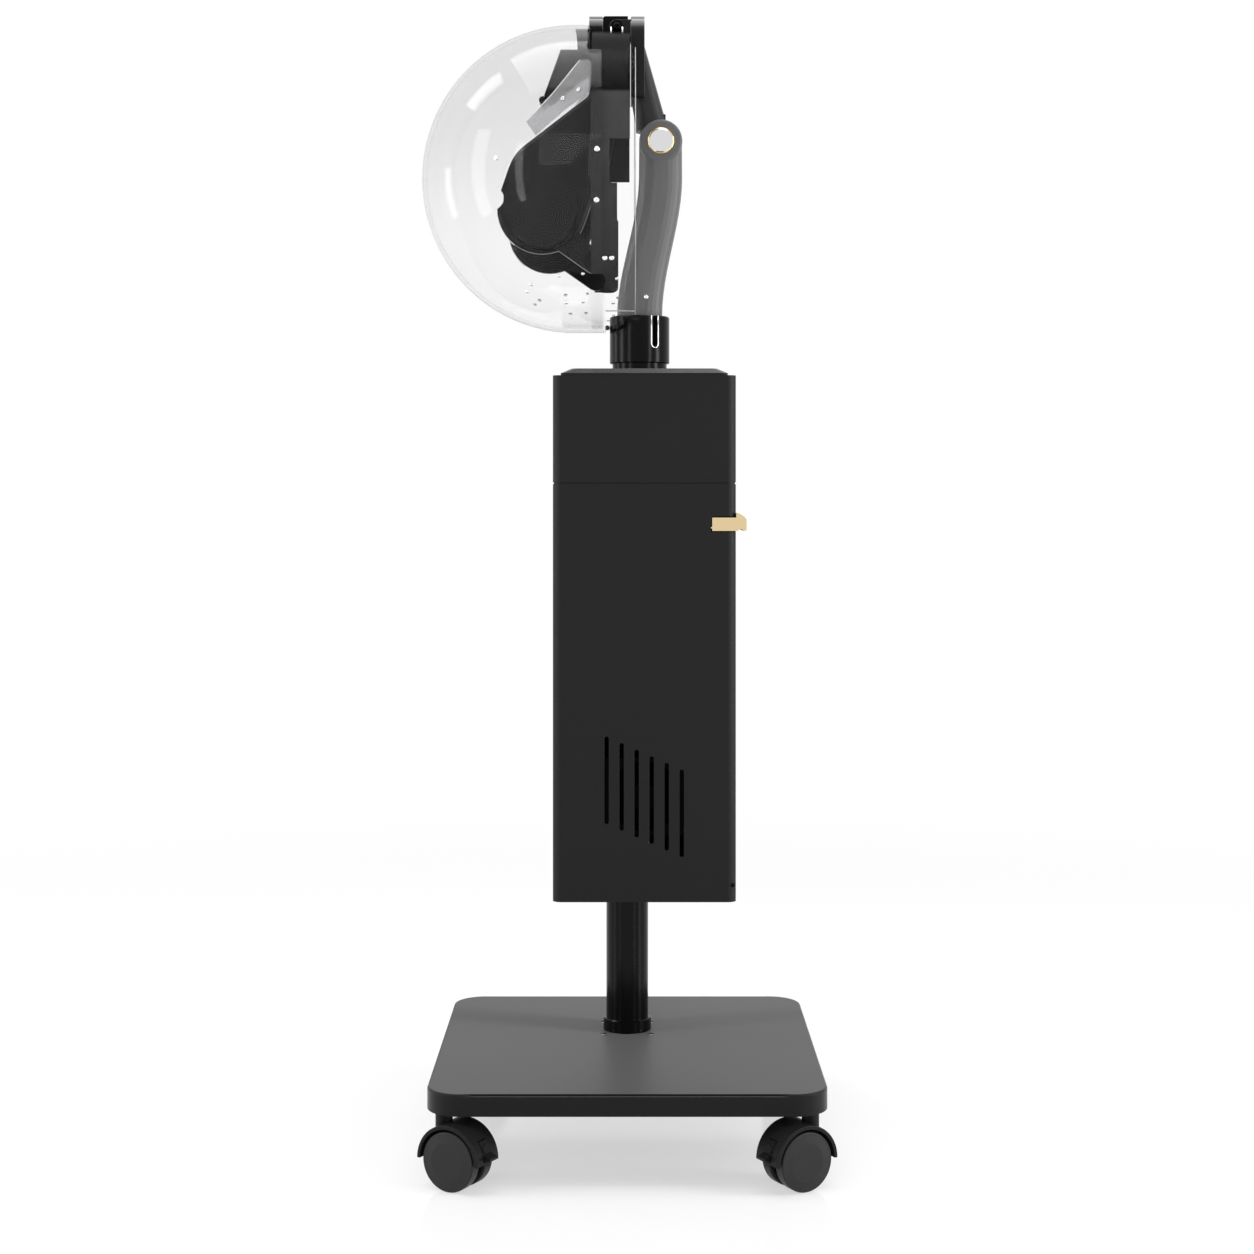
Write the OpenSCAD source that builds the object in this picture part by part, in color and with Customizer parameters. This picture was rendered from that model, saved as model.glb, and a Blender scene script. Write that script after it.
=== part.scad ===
// Hair steamer on a castered stand: clear hood, hinged arm, cabinet with a tilt-out door.
// Origin on the floor under the post axis, +Z up, -X towards the hood's dome, +X the operator's side.

/* [Base] */
// Width of the base tray, left to right
base_w = 440; // [380:5:520]
// Depth of the base tray, front to back
base_d = 440; // [400:5:520]
// Height of the base tray's folded edge
base_t = 24; // [20:1:32]
// Corner radius of the base tray
base_r = 38; // [25:1:60]
// Radius of the base tray's upper edge
base_edge = 2.5; // [1:0.5:5]
// Sheet thickness of the base tray
base_wall = 3; // [2:0.5:4]
// How far the post stands behind the middle of the base
post_back = 60; // [0:5:90]
// Thickness of the ballast plate inside the tray
ballast_t = 10; // [6:1:12]

/* [Casters] */
// Diameter of the twin wheels
wheel_d = 65; // [55:1:80]
// Width of one wheel of a pair
wheel_w = 15; // [12:1:18]
// Gap between the two wheels of a pair
wheel_gap = 12; // [12:1:16]
// Distance from the swivel axis back to the axle
caster_trail = 18; // [16:1:22]
// Gap between the wheel and its hood
fender_gap = 3; // [2:0.5:5]
// Thickness of the wheel hood
fender_t = 4; // [3:0.5:5]
// Height of the swivel neck above the wheel hood
neck_h = 8; // [6:1:14]
// Diameter of the swivel neck
neck_d = 19; // [18:1:24]
// Diameter of the swivel pin
pin_d = 8; // [6:1:9]
// Diameter of the steel axle
axle_d = 6; // [5:1:8]
// Distance from the tray's edges in to the swivel axis
caster_inset = 20; // [18:1:40]
// Angle by which the two near casters are parked off the tray's edge
near_turn = 30; // [0:5:60]
// Angle by which the far left caster is parked
far_left_turn = 55; // [0:5:355]
// Angle by which the far right caster is parked
far_right_turn = 260; // [0:5:355]

/* [Post] */
// Outer diameter of the post
post_d = 50.8; // [40:0.2:60]
// Wall of the post tube
post_wall = 2.5; // [1.5:0.5:4]
// Wall of the ring at the post's foot
foot_ring_t = 3.6; // [2:0.2:8]
// Height of the ring at the post's foot
foot_ring_h = 15; // [8:1:25]
// Free height of the post between base and cabinet
post_free = 174; // [120:2:260]
// Height that the post reaches up inside the cabinet
post_in = 40; // [30:1:60]

/* [Cabinet] */
// Width of the cabinet, left to right
cab_w = 214; // [200:1:260]
// Depth of the cabinet, front to back
cab_d = 214; // [200:1:260]
// Distance of the cabinet's middle from the post axis
cab_shift = 20; // [0:1:24]
// Radius of the cabinet's vertical edges
cab_r = 10; // [6:1:14]
// Sheet thickness of the cabinet
sheet = 1.5; // [1:0.25:2.5]
// Height of the lower cabinet
lower_h = 487; // [460:5:560]
// Height of the groove between the two boxes
groove_h = 2; // [1:0.5:4]
// Height of the upper box's walls
upper_h = 125; // [110:1:160]
// Height of the sloped lid above the walls
lid_h = 9; // [7:0.5:14]
// Width of the lid's slope
lid_slope = 12; // [8:1:18]
// Width of the wall top left bare round the lid
lid_inset = 9; // [8:0.5:12]

/* [Vents] */
// Number of vent slots in each side wall, low in the near one and high in the far one
vent_n = 6; // [3:1:7]
// Distance between neighbouring slots
vent_pitch = 17.5; // [12:0.5:18]
// Width of a slot
vent_w = 5; // [3:0.5:7]
// Length of a slot
vent_len = 102; // [60:2:130]
// Drop of each slot below the one before
vent_step = 7.7; // [0:0.1:9]
// Height of the first slot's top above the cabinet's underside
vent_top = 193; // [170:1:230]
// Height of the far wall's slots above those of the near wall
outlet_rise = 250; // [60:10:280]
// Distance of the first slot from the post axis, towards the hood
vent_left = 24; // [16:1:30]

/* [Door] */
// Gap round the door
door_gap = 1.5; // [1:0.25:2.5]
// Depth of the door's folded edge
door_fold = 14; // [10:1:18]
// Distance from the door's top to the groove
door_top_gap = 12; // [10:1:20]
// Distance from the door's bottom to the cabinet's underside
door_low_gap = 14; // [12:1:20]
// Height of the gold handle
handle_h = 15.5; // [12:0.5:20]
// Length of the handle's legs along the side walls
handle_leg = 28; // [22:1:36]
// How far the handle stands out from the door
handle_out = 12; // [9:0.5:16]
// Distance from the handle's top to the groove
handle_drop = 39; // [34:1:60]
// Diameter of the door's hinge pin
door_pin_d = 5; // [4:0.5:6]

/* [Collar] */
// Outer diameter of the swivel collar
collar_d = 72.5; // [70:0.5:84]
// Height of the swivel collar
collar_h = 57; // [50:1:75]
// Diameter of the neck ring under the collar
neck_ring_d = 66; // [60:0.5:69]
// Height of the neck ring under the collar
neck_ring_h = 10; // [6:1:14]
// Diameter of the arm's swivel spigot
spigot_d = 50; // [44:1:54]
// Distance of the collar's axis from the post axis
collar_shift = 15; // [6:1:20]
// Width of the clamping slot in the collar
slot_w = 9; // [6:0.5:11]
// Length of the clamping slot in the collar
slot_len = 38; // [25:1:42]

/* [Arm] */
// Width of the arm at the collar
arm_w_low = 55; // [50:1:60]
// Width of the arm below the knuckle
arm_w_top = 52; // [48:1:56]
// Depth of the arm, front to back
arm_depth = 46; // [42:1:54]
// Sideways lean of the arm from collar to knuckle
arm_lean = 25.5; // [15:0.5:26]
// Height over which the arm leans
arm_lean_h = 170; // [140:5:180]
// Height of the knuckle axis above the collar
knuckle_up = 211; // [205:1:240]
// Diameter of the knuckle boss
boss_d = 52; // [48:1:56]
// Width of the tongue inside the knuckle
tongue_w = 20; // [16:1:24]
// Diameter of the knuckle pin
knuckle_pin_d = 14; // [10:1:16]
// Diameter of the chrome knuckle cap
cap_d = 29; // [24:1:34]

/* [Hood hinge] */
// Height of the hood's hinge pin above the knuckle
hinge_up = 136; // [130:1:150]
// Distance of the hood's hinge pin from the knuckle, towards the dome
hinge_out = 53; // [51:0.5:60]
// Clear width between the two hinge plates
leaf_gap = 33.6; // [30:0.2:38]
// Thickness of each hinge plate
leaf_t = 16.5; // [14:0.5:18]
// Height of the hinge plates below the pin
leaf_drop = 86; // [80:1:100]
// Height of the hinge plates above the pin
leaf_rise = 16.5; // [15:0.5:17]
// Width of the hinge plates, front to back
leaf_w = 70; // [66:1:80]
// Diameter of the hood's hinge pin
hinge_pin_d = 8; // [6:1:10]
// Diameter of the hinge barrel
barrel_d = 18; // [16:1:20]
// Width of the hinge barrel's middle part
barrel_mid = 30; // [24:1:36]

/* [Hood] */
// Outer radius of the clear dome
dome_r = 185; // [180:1:200]
// Wall of the clear dome
dome_wall = 4; // [3:0.5:5]
// Distance of the dome's centre below the hinge pin
dome_drop = 181; // [180:1:190]
// Distance of the dome's centre from the hinge pin, towards the client
dome_out = 51; // [45:1:60]
// Distance from the dome's centre to the seam of the dome
seam_x = 21; // [16:1:26]
// Width of the overlap between dome and band
lap_w = 13; // [8:1:18]
// Distance from the dome's centre to the band's lip
lip_x = 73.5; // [70:0.5:78]
// Half width of the gap in the clear band at the hinge
band_gap = 128; // [60:1:140]
// Thickness of the bead round the lip
lip_bead = 4; // [3:0.5:6]
// Half width of the notch that clears the collar
notch_half = 77; // [70:1:90]
// Distance from the dome's centre to the notch
notch_x = 37.5; // [36:0.5:40]
// Width of the black carrying ring inside the band, at its ends
yoke_w = 30; // [24:1:32]
// Thickness of the black carrying ring
yoke_t = 5; // [4:0.5:7]
// Angle from the top down to each end of the carrying ring
yoke_sweep = 135; // [110:1:138]
// Distance of the side pods from the dome's middle plane
pod_y = 108; // [104:1:112]
// Thickness of a side pod
pod_t = 16; // [12:1:18]
// Height of the raised oval on a side pod
oval_t = 6; // [4:0.5:8]

/* [Controls] */
// Width of the control panel
panel_w = 120; // [100:2:140]
// Height of the control panel
panel_h = 74; // [60:1:80]
// Thickness of the control panel
panel_t = 4; // [3:0.5:6]
// Diameter of a push button
button_d = 15; // [12:0.5:18]
// Distance between neighbouring buttons
button_pitch = 30; // [24:1:34]
// How far a button stands out of the panel, which is its travel
button_out = 1.5; // [1:0.25:2]

/* [Inside] */
// Diameter of the fan's frame opening
fan_d = 82; // [70:1:86]
// Diameter of the boiler
boiler_d = 84; // [70:1:96]
// Height of the boiler
boiler_h = 62; // [50:1:70]
// Width of the water tank, left to right
tank_w = 68; // [56:1:72]
// Depth of the water tank, front to back
tank_d = 150; // [110:2:150]
// Height of the water tank
tank_h = 190; // [150:2:200]
// Wall of the water tank
tank_wall = 3; // [2:0.5:4]

/* [Hidden] */
$fn = 64;
fit = 0.3;        // gap between pieces that seat on each other
foot_ring_d = post_d + 2 * foot_ring_t;
run = 0.05;       // radial clearance of a shaft in its bore
part_gap = 0.6;   // gap between pieces that pass each other

tray_z = wheel_d + fender_gap + fender_t + neck_h;
deck_z = tray_z + base_t;
cab_z = deck_z + post_free;
seam_z = cab_z + lower_h;
upper_z = seam_z + groove_h;
wall_z = upper_z + upper_h;
lid_z = wall_z + lid_h;
collar_z = lid_z + neck_ring_h;
collar_top = collar_z + collar_h;
knuckle_x = collar_shift + arm_lean;
knuckle_z = collar_top + knuckle_up;
hinge_x = knuckle_x - hinge_out;
hinge_z = knuckle_z + hinge_up;
dome_x = hinge_x - dome_out;
dome_z = hinge_z - dome_drop;
face_x = cab_shift + cab_w / 2;
side_y = cab_d / 2;

module rounded_rect(w, d, r) {
  square([w - 2 * r, d], center = true);
  square([w, d - 2 * r], center = true);
  for (sx = [-1, 1], sy = [-1, 1])
    translate([sx * (w / 2 - r), sy * (d / 2 - r)]) circle(r = r);
}
// A plate with rounded corners and a soft upper edge of radius e
module soft_plate(w, d, h, r, e) {
  linear_extrude(h - e) rounded_rect(w, d, r);
  linear_extrude(h) rounded_rect(w - 2 * e, d - 2 * e, r - e);
  translate([0, 0, h - e]) {
    for (s = [-1, 1]) {
      translate([s * (w / 2 - e), 0, 0]) y_cyl(2 * e, -d / 2 + r, d / 2 - r);
      translate([0, s * (d / 2 - e), 0]) x_cyl(2 * e, -w / 2 + r, w / 2 - r);
    }
    for (sx = [-1, 1], sy = [-1, 1]) translate([sx * (w / 2 - r), sy * (d / 2 - r), 0])
      rotate_extrude() translate([r - e, 0]) circle(r = e);
  }
}
module slot_2d(w, len) {
  square([w, len - w], center = true);
  for (s = [-1, 1]) translate([0, s * (len - w) / 2]) circle(d = w);
}
// A cylinder along Y from y0 to y1
module y_cyl(d, y0, y1) { translate([0, y0, 0]) rotate([-90, 0, 0]) cylinder(d = d, h = y1 - y0); }
// A cylinder along X from x0 to x1
module x_cyl(d, x0, x1) { translate([x0, 0, 0]) rotate([0, 90, 0]) cylinder(d = d, h = x1 - x0); }
// An X-Z outline extruded from y0 to y1
module xz_extrude(y0, y1) { translate([0, y1, 0]) rotate([90, 0, 0]) linear_extrude(y1 - y0) children(); }
// A Y-Z outline extruded from x0 to x1
module yz_extrude(x0, x1) { translate([x0, 0, 0]) rotate([90, 0, 90]) linear_extrude(x1 - x0) children(); }
// A block from one corner to the other
module block(a, b) { translate(a) cube(b - a); }
module mirror_copy(v) { children(); mirror(v) children(); }

// BASE
base_mid = [0, -post_back, 0];
caster_spots = [for (s = [[-1, -1], [1, -1], [-1, 1], [1, 1]])
  [s[0] * (base_w / 2 - caster_inset), s[1] * (base_d / 2 - caster_inset) - post_back]];
caster_turns = [-near_turn, 180 + near_turn, far_left_turn, far_right_turn];
bolt_ring = 40;
bolt_d = 8;
flange_d = 108;
flange_t = 8;
ballast_gap = 60;

module base_tray() {
  color("#2b2b2c") translate(base_mid) difference() {
    translate([0, 0, tray_z]) soft_plate(base_w, base_d, base_t, base_r, base_edge);
    translate([0, 0, tray_z - 1]) linear_extrude(base_t - base_wall + 1)
      difference() {
        rounded_rect(base_w - 2 * base_wall, base_d - 2 * base_wall, base_r - base_wall);
        for (p = caster_spots) translate([p[0], p[1] + post_back]) circle(d = neck_d + 12);
      }
    for (p = caster_spots) translate([p[0], p[1] + post_back, tray_z - 1]) cylinder(d = pin_d + 2 * run, h = 15);
    for (a = [45:90:315]) translate([bolt_ring * cos(a), post_back + bolt_ring * sin(a), tray_z])
      cylinder(d = bolt_d + 2 * run, h = base_t + 1);
  }
}
module ballast_plate() {
  color("#55585a") translate(base_mid) translate([0, 0, deck_z - base_wall - ballast_t]) linear_extrude(ballast_t - fit)
    difference() {
      rounded_rect(base_w - 2 * ballast_gap, base_d - 30, 12);
      translate([0, post_back]) circle(d = flange_d + 2);
    }
}
module post_flange() {
  color("#55585a") translate([0, 0, deck_z - base_wall - flange_t - fit]) difference() {
    cylinder(d = flange_d, h = flange_t);
    for (a = [45:90:315]) translate([bolt_ring * cos(a), bolt_ring * sin(a), -1])
      cylinder(d = bolt_d + 2 * run, h = flange_t + 2);
  }
}
module base_bolts() {
  color("#202020") for (a = [45:90:315])
    translate([bolt_ring * cos(a), bolt_ring * sin(a), deck_z - base_wall - flange_t - fit - 5]) union() {
      cylinder(d = 13, h = 4.7, $fn = 6);
      cylinder(d = bolt_d, h = 5 + flange_t + base_wall - 0.4);
    }
}
module post_tube() {
  color("#1b1b1c") difference() {
    translate([0, 0, deck_z]) cylinder(d = post_d, h = post_free + post_in);
    translate([0, 0, deck_z - 1]) cylinder(d = post_d - 2 * post_wall, h = post_free + post_in + 2);
  }
}
module foot_ring() {
  color("#161617") translate([0, 0, deck_z]) rotate_extrude() polygon([
    [post_d / 2 + run, 0], [foot_ring_d / 2, 0], [foot_ring_d / 2, foot_ring_h - 1.2],
    [foot_ring_d / 2 - 1.2, foot_ring_h], [post_d / 2 + run, foot_ring_h]]);
}

// CASTERS, each drawn with its swivel axis at the origin and its wheels trailing along +X
wheel_r = wheel_d / 2;
hood_in = wheel_r + fender_gap;
hood_out = hood_in + fender_t;
pair_w = 2 * wheel_w + wheel_gap;
web_w = wheel_gap - 1;
brake_w = 15;
brake_at = 22;   // angle of the lever's pivot above the axle
brake_r = hood_in + fender_t / 2;
brake_pivot = 7;
brake_pin_d = 2.4;
rim_t = 5;
stem_low = tray_z - neck_h - 12;

module at_caster(i) {
  translate([caster_spots[i][0], caster_spots[i][1], 0]) rotate([0, 0, caster_turns[i]]) children();
}
module at_axle() { translate([caster_trail, 0, wheel_r]) children(); }

module caster_stem() {
  translate([0, 0, stem_low]) cylinder(d = pin_d, h = tray_z + 13 - stem_low);
}
module caster_stems() { color("#8b8d90") for (i = [0:3]) at_caster(i) caster_stem(); }

module caster_body() {
  color("#1a1a1b") difference() {
    union() {
      translate([0, 0, wheel_r]) cylinder(d = neck_d, h = tray_z - wheel_r - fit);
      at_axle() rotate([90, 0, 0]) rotate_extrude(angle = 180) fender_profile();
      at_axle() intersection() {
        y_cyl(2 * hood_out - 2, -web_w / 2, web_w / 2);
        union() {
          block([-hood_out, -web_w / 2, -4], [hood_out, web_w / 2, hood_out]);
          block([-caster_trail - neck_d / 2, -web_w / 2, -10], [10, web_w / 2, 2]);
        }
      }
    }
    // the neck is cut back where it would reach into the wheels
    for (s = [-1, 1]) at_axle() y_cyl(2 * hood_in, s > 0 ? web_w / 2 : -pair_w, s > 0 ? pair_w : -web_w / 2);
    at_axle() y_cyl(axle_d + 2 * run, -pair_w, pair_w);
    translate([0, 0, stem_low - fit]) cylinder(d = pin_d + 2 * run, h = tray_z);
    at_axle() rotate([0, -brake_at, 0]) {
      block([hood_in - 6, -brake_w / 2 - fit, -13], [hood_out + 8, brake_w / 2 + fit, 11]);
      translate([brake_r, 0, brake_pivot]) y_cyl(brake_pin_d + 2 * run, -brake_w / 2 - 3, brake_w / 2 + 3);
    }
  }
}
module fender_profile() {
  translate([hood_in, -pair_w / 2]) {
    translate([0, 1]) square([fender_t, pair_w - 2]);
    square([fender_t - 1, pair_w]);
    for (y = [1, pair_w - 1]) translate([fender_t - 1, y]) circle(r = 1);
  }
}
module caster_wheel() {
  rotate([-90, 0, 0]) rotate_extrude() difference() {
    union() {
      translate([0, wheel_gap / 2]) square([wheel_r - 2, wheel_w - 1]);
      translate([0, wheel_gap / 2 + 2]) square([wheel_r, wheel_w - 5]);
      for (y = [2, wheel_w - 3]) translate([wheel_r - 2, wheel_gap / 2 + y]) circle(r = 2);
      polygon([[0, wheel_gap / 2 + wheel_w - 2], [wheel_r - 3, wheel_gap / 2 + wheel_w - 1],
        [wheel_r - 12, wheel_gap / 2 + wheel_w], [0, wheel_gap / 2 + wheel_w]]);
    }
    translate([axle_d / 2 + 3, 0]) square([wheel_r - rim_t - axle_d / 2 - 3, wheel_gap / 2 + wheel_w - 5]);
    translate([-1, -1]) square([axle_d / 2 + 1, wheel_gap / 2 + wheel_w - 3]);
  }
}
module caster_wheels() { color("#3a3a3b") at_axle() mirror_copy([0, 1, 0]) caster_wheel(); }
module caster_axle() {
  color("#a8aaad") at_axle() y_cyl(axle_d, -wheel_gap / 2 - wheel_w + 4.5, wheel_gap / 2 + wheel_w - 4.5);
}
// Lever across both wheels, with an oval pad above its toe tab
module caster_brake() {
  color("#222223") at_axle() rotate([0, -brake_at, 0]) union() {
    intersection() {
      difference() {
        y_cyl(2 * hood_out + 1.6, -brake_w / 2, brake_w / 2);
        y_cyl(2 * hood_in, -pair_w, pair_w);
      }
      block([0, -brake_w / 2, -12], [hood_out + 2, brake_w / 2, 10]);
    }
    xz_extrude(-brake_w / 2 + 1, brake_w / 2 - 1)
      polygon([[hood_out - 2, -11], [hood_out + 5, -13], [hood_out + 6.5, -11], [hood_out - 1, -3]]);
    translate([hood_out - 1, 0, 0]) rotate([0, 90, 0]) linear_extrude(2.6) slot_2d(9, 13);
    translate([brake_r, 0, brake_pivot]) y_cyl(brake_pin_d, -brake_w / 2 - 2, brake_w / 2 + 2);
  }
}

module caster_body_1() { at_caster(0) caster_body(); }
module caster_body_2() { at_caster(1) caster_body(); }
module caster_body_3() { at_caster(2) caster_body(); }
module caster_body_4() { at_caster(3) caster_body(); }
module caster_wheels_1() { at_caster(0) caster_wheels(); }
module caster_wheels_2() { at_caster(1) caster_wheels(); }
module caster_wheels_3() { at_caster(2) caster_wheels(); }
module caster_wheels_4() { at_caster(3) caster_wheels(); }
module caster_axle_1() { at_caster(0) caster_axle(); }
module caster_axle_2() { at_caster(1) caster_axle(); }
module caster_axle_3() { at_caster(2) caster_axle(); }
module caster_axle_4() { at_caster(3) caster_axle(); }
module caster_brake_1() { at_caster(0) caster_brake(); }
module caster_brake_2() { at_caster(1) caster_brake(); }
module caster_brake_3() { at_caster(2) caster_brake(); }
module caster_brake_4() { at_caster(3) caster_brake(); }

// CABINET
window_y = side_y - cab_r - 3;
door_top = seam_z - door_top_gap - door_gap;
door_low = cab_z + door_low_gap + door_gap;
hinge_tube_d = door_pin_d + 3;
door_axis_x = face_x - hinge_tube_d / 2;
door_axis_z = door_low + hinge_tube_d / 2;
handle_top = seam_z - handle_drop;
notch_gap = 1.3;
flange_in = 14;
panel_x = face_x;
panel_z = upper_z + upper_h / 2;
inlet_x = cab_shift - 45;
inlet_z = cab_z + 62;
inlet_w = 50;
inlet_h = 74;
rocker_z = inlet_z + 22;
rocker_deep = 5;     // how far the rocker's axis lies inside the wall
rocker_pin_d = 3;
hose_d = 14;

module cab_tube(z0, z1) {
  translate([cab_shift, 0, z0]) linear_extrude(z1 - z0) difference() {
    rounded_rect(cab_w, cab_d, cab_r);
    rounded_rect(cab_w - 2 * sheet, cab_d - 2 * sheet, cab_r - sheet);
  }
}
module vents_2d() {
  for (i = [0:vent_n - 1])
    translate([-vent_left + i * vent_pitch, cab_z + vent_top - vent_len / 2 - i * vent_step]) slot_2d(vent_w, vent_len);
}
module lower_shell() {
  color("#262627") difference() {
    union() {
      cab_tube(cab_z, seam_z);
      for (s = [-1, 1]) block(
        [face_x - hinge_tube_d - 1, min(s * window_y, s * (window_y + 7)), door_axis_z - 5],
        [face_x - sheet / 2, max(s * window_y, s * (window_y + 7)), door_axis_z + 5]);
    }
    xz_extrude(-side_y - 1, 0) vents_2d();
    translate([0, 0, outlet_rise]) xz_extrude(0, side_y + 1) vents_2d();
    block([face_x - sheet - 1, -window_y, door_low - door_gap], [face_x + 1, window_y, door_top + door_gap]);
    for (s = [0, 1]) mirror([0, s, 0])
      block([face_x - handle_leg - notch_gap, window_y - 1, handle_top - handle_h - notch_gap],
        [face_x + 1, side_y + 1, handle_top + notch_gap]);
    translate([door_axis_x, 0, door_axis_z]) y_cyl(door_pin_d + 2 * run, -side_y, side_y);
    translate([inlet_x, 0, inlet_z]) block([-inlet_w / 2 + 4, side_y - sheet - 1, -inlet_h / 2 + 4],
      [inlet_w / 2 - 4, side_y + 1, inlet_h / 2 - 4]);
  }
}
module cabinet_floor() {
  color("#1d1d1e") difference() {
    union() {
      translate([cab_shift, 0, cab_z + 0.5]) linear_extrude(2)
        rounded_rect(cab_w - 2 * sheet - 2 * fit, cab_d - 2 * sheet - 2 * fit, cab_r - sheet);
      translate([0, 0, cab_z + 0.5]) cylinder(d = post_d + 12, h = post_in - 4);
    }
    translate([0, 0, cab_z - 1]) cylinder(d = post_d + 2 * run, h = post_in + 2);
  }
}
module mid_deck() {
  color("#111112") difference() {
    union() {
      translate([cab_shift, 0, seam_z]) linear_extrude(groove_h) rounded_rect(cab_w - 2, cab_d - 2, cab_r - 1);
      translate([cab_shift, 0, seam_z - 8]) linear_extrude(8.5) difference() {
        rounded_rect(cab_w - 2 * sheet - 2 * fit, cab_d - 2 * sheet - 2 * fit, cab_r - sheet);
        rounded_rect(cab_w - 2 * sheet - 6, cab_d - 2 * sheet - 6, cab_r - sheet - 2);
      }
    }
    translate([boiler_x, 0, seam_z - 1]) cylinder(d = 2 * terminal_x + terminal_d + 4, h = groove_h + 2);
  }
}
module upper_shell() {
  color("#262627") difference() {
    union() {
      cab_tube(upper_z, wall_z);
      translate([cab_shift, 0, wall_z - sheet]) linear_extrude(sheet) difference() {
        rounded_rect(cab_w, cab_d, cab_r);
        rounded_rect(cab_w - 2 * flange_in - 2 * lid_inset, cab_d - 2 * flange_in - 2 * lid_inset, cab_r);
      }
    }
    block([face_x - sheet - 1, -panel_w / 2 - fit, panel_z - panel_h / 2 - fit],
      [face_x + 1, panel_w / 2 + fit, panel_z + panel_h / 2 + fit]);
  }
}
module cabinet_lid() {
  lid_w = cab_w - 2 * lid_inset;
  lid_d = cab_d - 2 * lid_inset;
  color("#2a2a2b") difference() {
    translate([cab_shift, 0, wall_z]) hull() {
      linear_extrude(lid_h / 3) rounded_rect(lid_w, lid_d, 6, $fn = 24);
      linear_extrude(lid_h) rounded_rect(lid_w - 2 * lid_slope, lid_d - 2 * lid_slope, 8, $fn = 24);
    }
    translate([cab_shift, 0, wall_z - 1]) linear_extrude(lid_h - 1)
      square([lid_w - 4 * lid_slope, lid_d - 4 * lid_slope], center = true);
    translate([collar_shift, 0, wall_z]) cylinder(d = hose_d + 2, h = lid_h + 1);
  }
}

// DOOR, hinged along its bottom edge
module service_door() {
  half = window_y - door_gap;
  color("#262627") difference() {
    union() {
      block([face_x - sheet, -half, door_axis_z], [face_x, half, door_top]);
      difference() {
        block([face_x - door_fold, -half, door_axis_z + hinge_tube_d / 2], [face_x, half, door_top]);
        block([face_x - door_fold - 1, -half + sheet, door_axis_z], [face_x - sheet, half - sheet, door_top - sheet]);
      }
      translate([door_axis_x, 0, door_axis_z]) y_cyl(hinge_tube_d, -half, half);
    }
    translate([door_axis_x, 0, door_axis_z]) y_cyl(door_pin_d + 2 * run, -side_y, side_y);
  }
}
module door_hinge_pin() {
  color("#9a9ca0") translate([door_axis_x, 0, door_axis_z]) y_cyl(door_pin_d, -window_y - 6.5, window_y + 6.5);
}
module door_handle() {
  leg_t = 2;
  low = handle_top - handle_h;
  color("#d9bf86") union() {
    xz_extrude(-side_y, side_y) difference() {
      polygon([[face_x, low], [face_x + handle_out - 1, low], [face_x + handle_out, low + 1],
        [face_x + handle_out, handle_top - 2], [face_x + handle_out - 2.5, handle_top + 1],
        [face_x + 3, handle_top + handle_h / 3], [face_x, handle_top + handle_h / 3]]);
      // finger scoop under the lip
      translate([face_x + handle_out * 0.45, low - 1]) circle(d = handle_out * 0.55);
    }
    for (s = [0, 1]) mirror([0, s, 0]) block([face_x - handle_leg, side_y - leg_t, low], [face_x + 1, side_y, handle_top]);
  }
}

// CONTROLS
button_ys = [-button_pitch, 0, button_pitch];
button_z = panel_z - panel_h / 2 + 14;
panel_back = 3;

module control_panel() {
  color("#0c0c0d") difference() {
    union() {
      block([panel_x - panel_t, -panel_w / 2, panel_z - panel_h / 2], [panel_x, panel_w / 2, panel_z + panel_h / 2]);
      block([panel_x - panel_t - panel_back, -panel_w / 2 - 5, panel_z - panel_h / 2 - 5],
        [panel_x - max(panel_t, sheet + fit), panel_w / 2 + 5, panel_z + panel_h / 2 + 5]);
    }
    // shallow display window
    block([panel_x - 0.8, -panel_w / 2 + 16, button_z + button_d / 2 + 8],
      [panel_x + 1, panel_w / 2 - 16, panel_z + panel_h / 2 - 8]);
    for (y = button_ys) translate([0, y, button_z])
      x_cyl(button_d + 2 * fit, panel_x - panel_t - panel_back - 1, panel_x + 1);
  }
}
module push_button(y) {
  color("#2f2f31") translate([0, y, button_z]) union() {
    x_cyl(button_d, panel_x - panel_t - panel_back - 2, panel_x + button_out);
    x_cyl(button_d + 4, panel_x - panel_t - panel_back - 2.8, panel_x - panel_t - panel_back - fit);
  }
}
module button_1() { push_button(button_ys[0]); }
module button_2() { push_button(button_ys[1]); }
module button_3() { push_button(button_ys[2]); }

// Mains inlet and rocker switch, set into the far side wall
module mains_inlet() {
  color("#141415") translate([inlet_x, side_y, inlet_z]) difference() {
    union() {
      block([-inlet_w / 2, 0, -inlet_h / 2], [inlet_w / 2, 2, inlet_h / 2]);
      block([-inlet_w / 2 + 4.3, -30, -inlet_h / 2 + 4.3], [inlet_w / 2 - 4.3, 0, inlet_h / 2 - 4.3]);
    }
    block([-12.5, -16, -29], [12.5, 3, -12]);
    block([-11, -24, rocker_z - inlet_z - 7], [11, 3, rocker_z - inlet_z + 7]);
    translate([0, -rocker_deep, rocker_z - inlet_z]) x_cyl(rocker_pin_d + 2 * run, -13.5, 13.5);
  }
  color("#c0c2c4") translate([inlet_x, side_y, inlet_z]) for (p = [[-7, -19], [7, -19], [0, -23.5]])
    block([p[0] - 1, -18, p[1] - 2], [p[0] + 1, -6, p[1] + 2]);
}
module power_rocker() {
  color("#1f1f20") translate([inlet_x, side_y - rocker_deep, rocker_z]) union() {
    x_cyl(11, -10.5, 10.5);
    x_cyl(rocker_pin_d, -13, 13);
    yz_extrude(-10.5, 10.5) polygon([[0, -5.2], [5.4, -5.2], [7.2, 4.6], [0, 5.2]]);
  }
}

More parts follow.
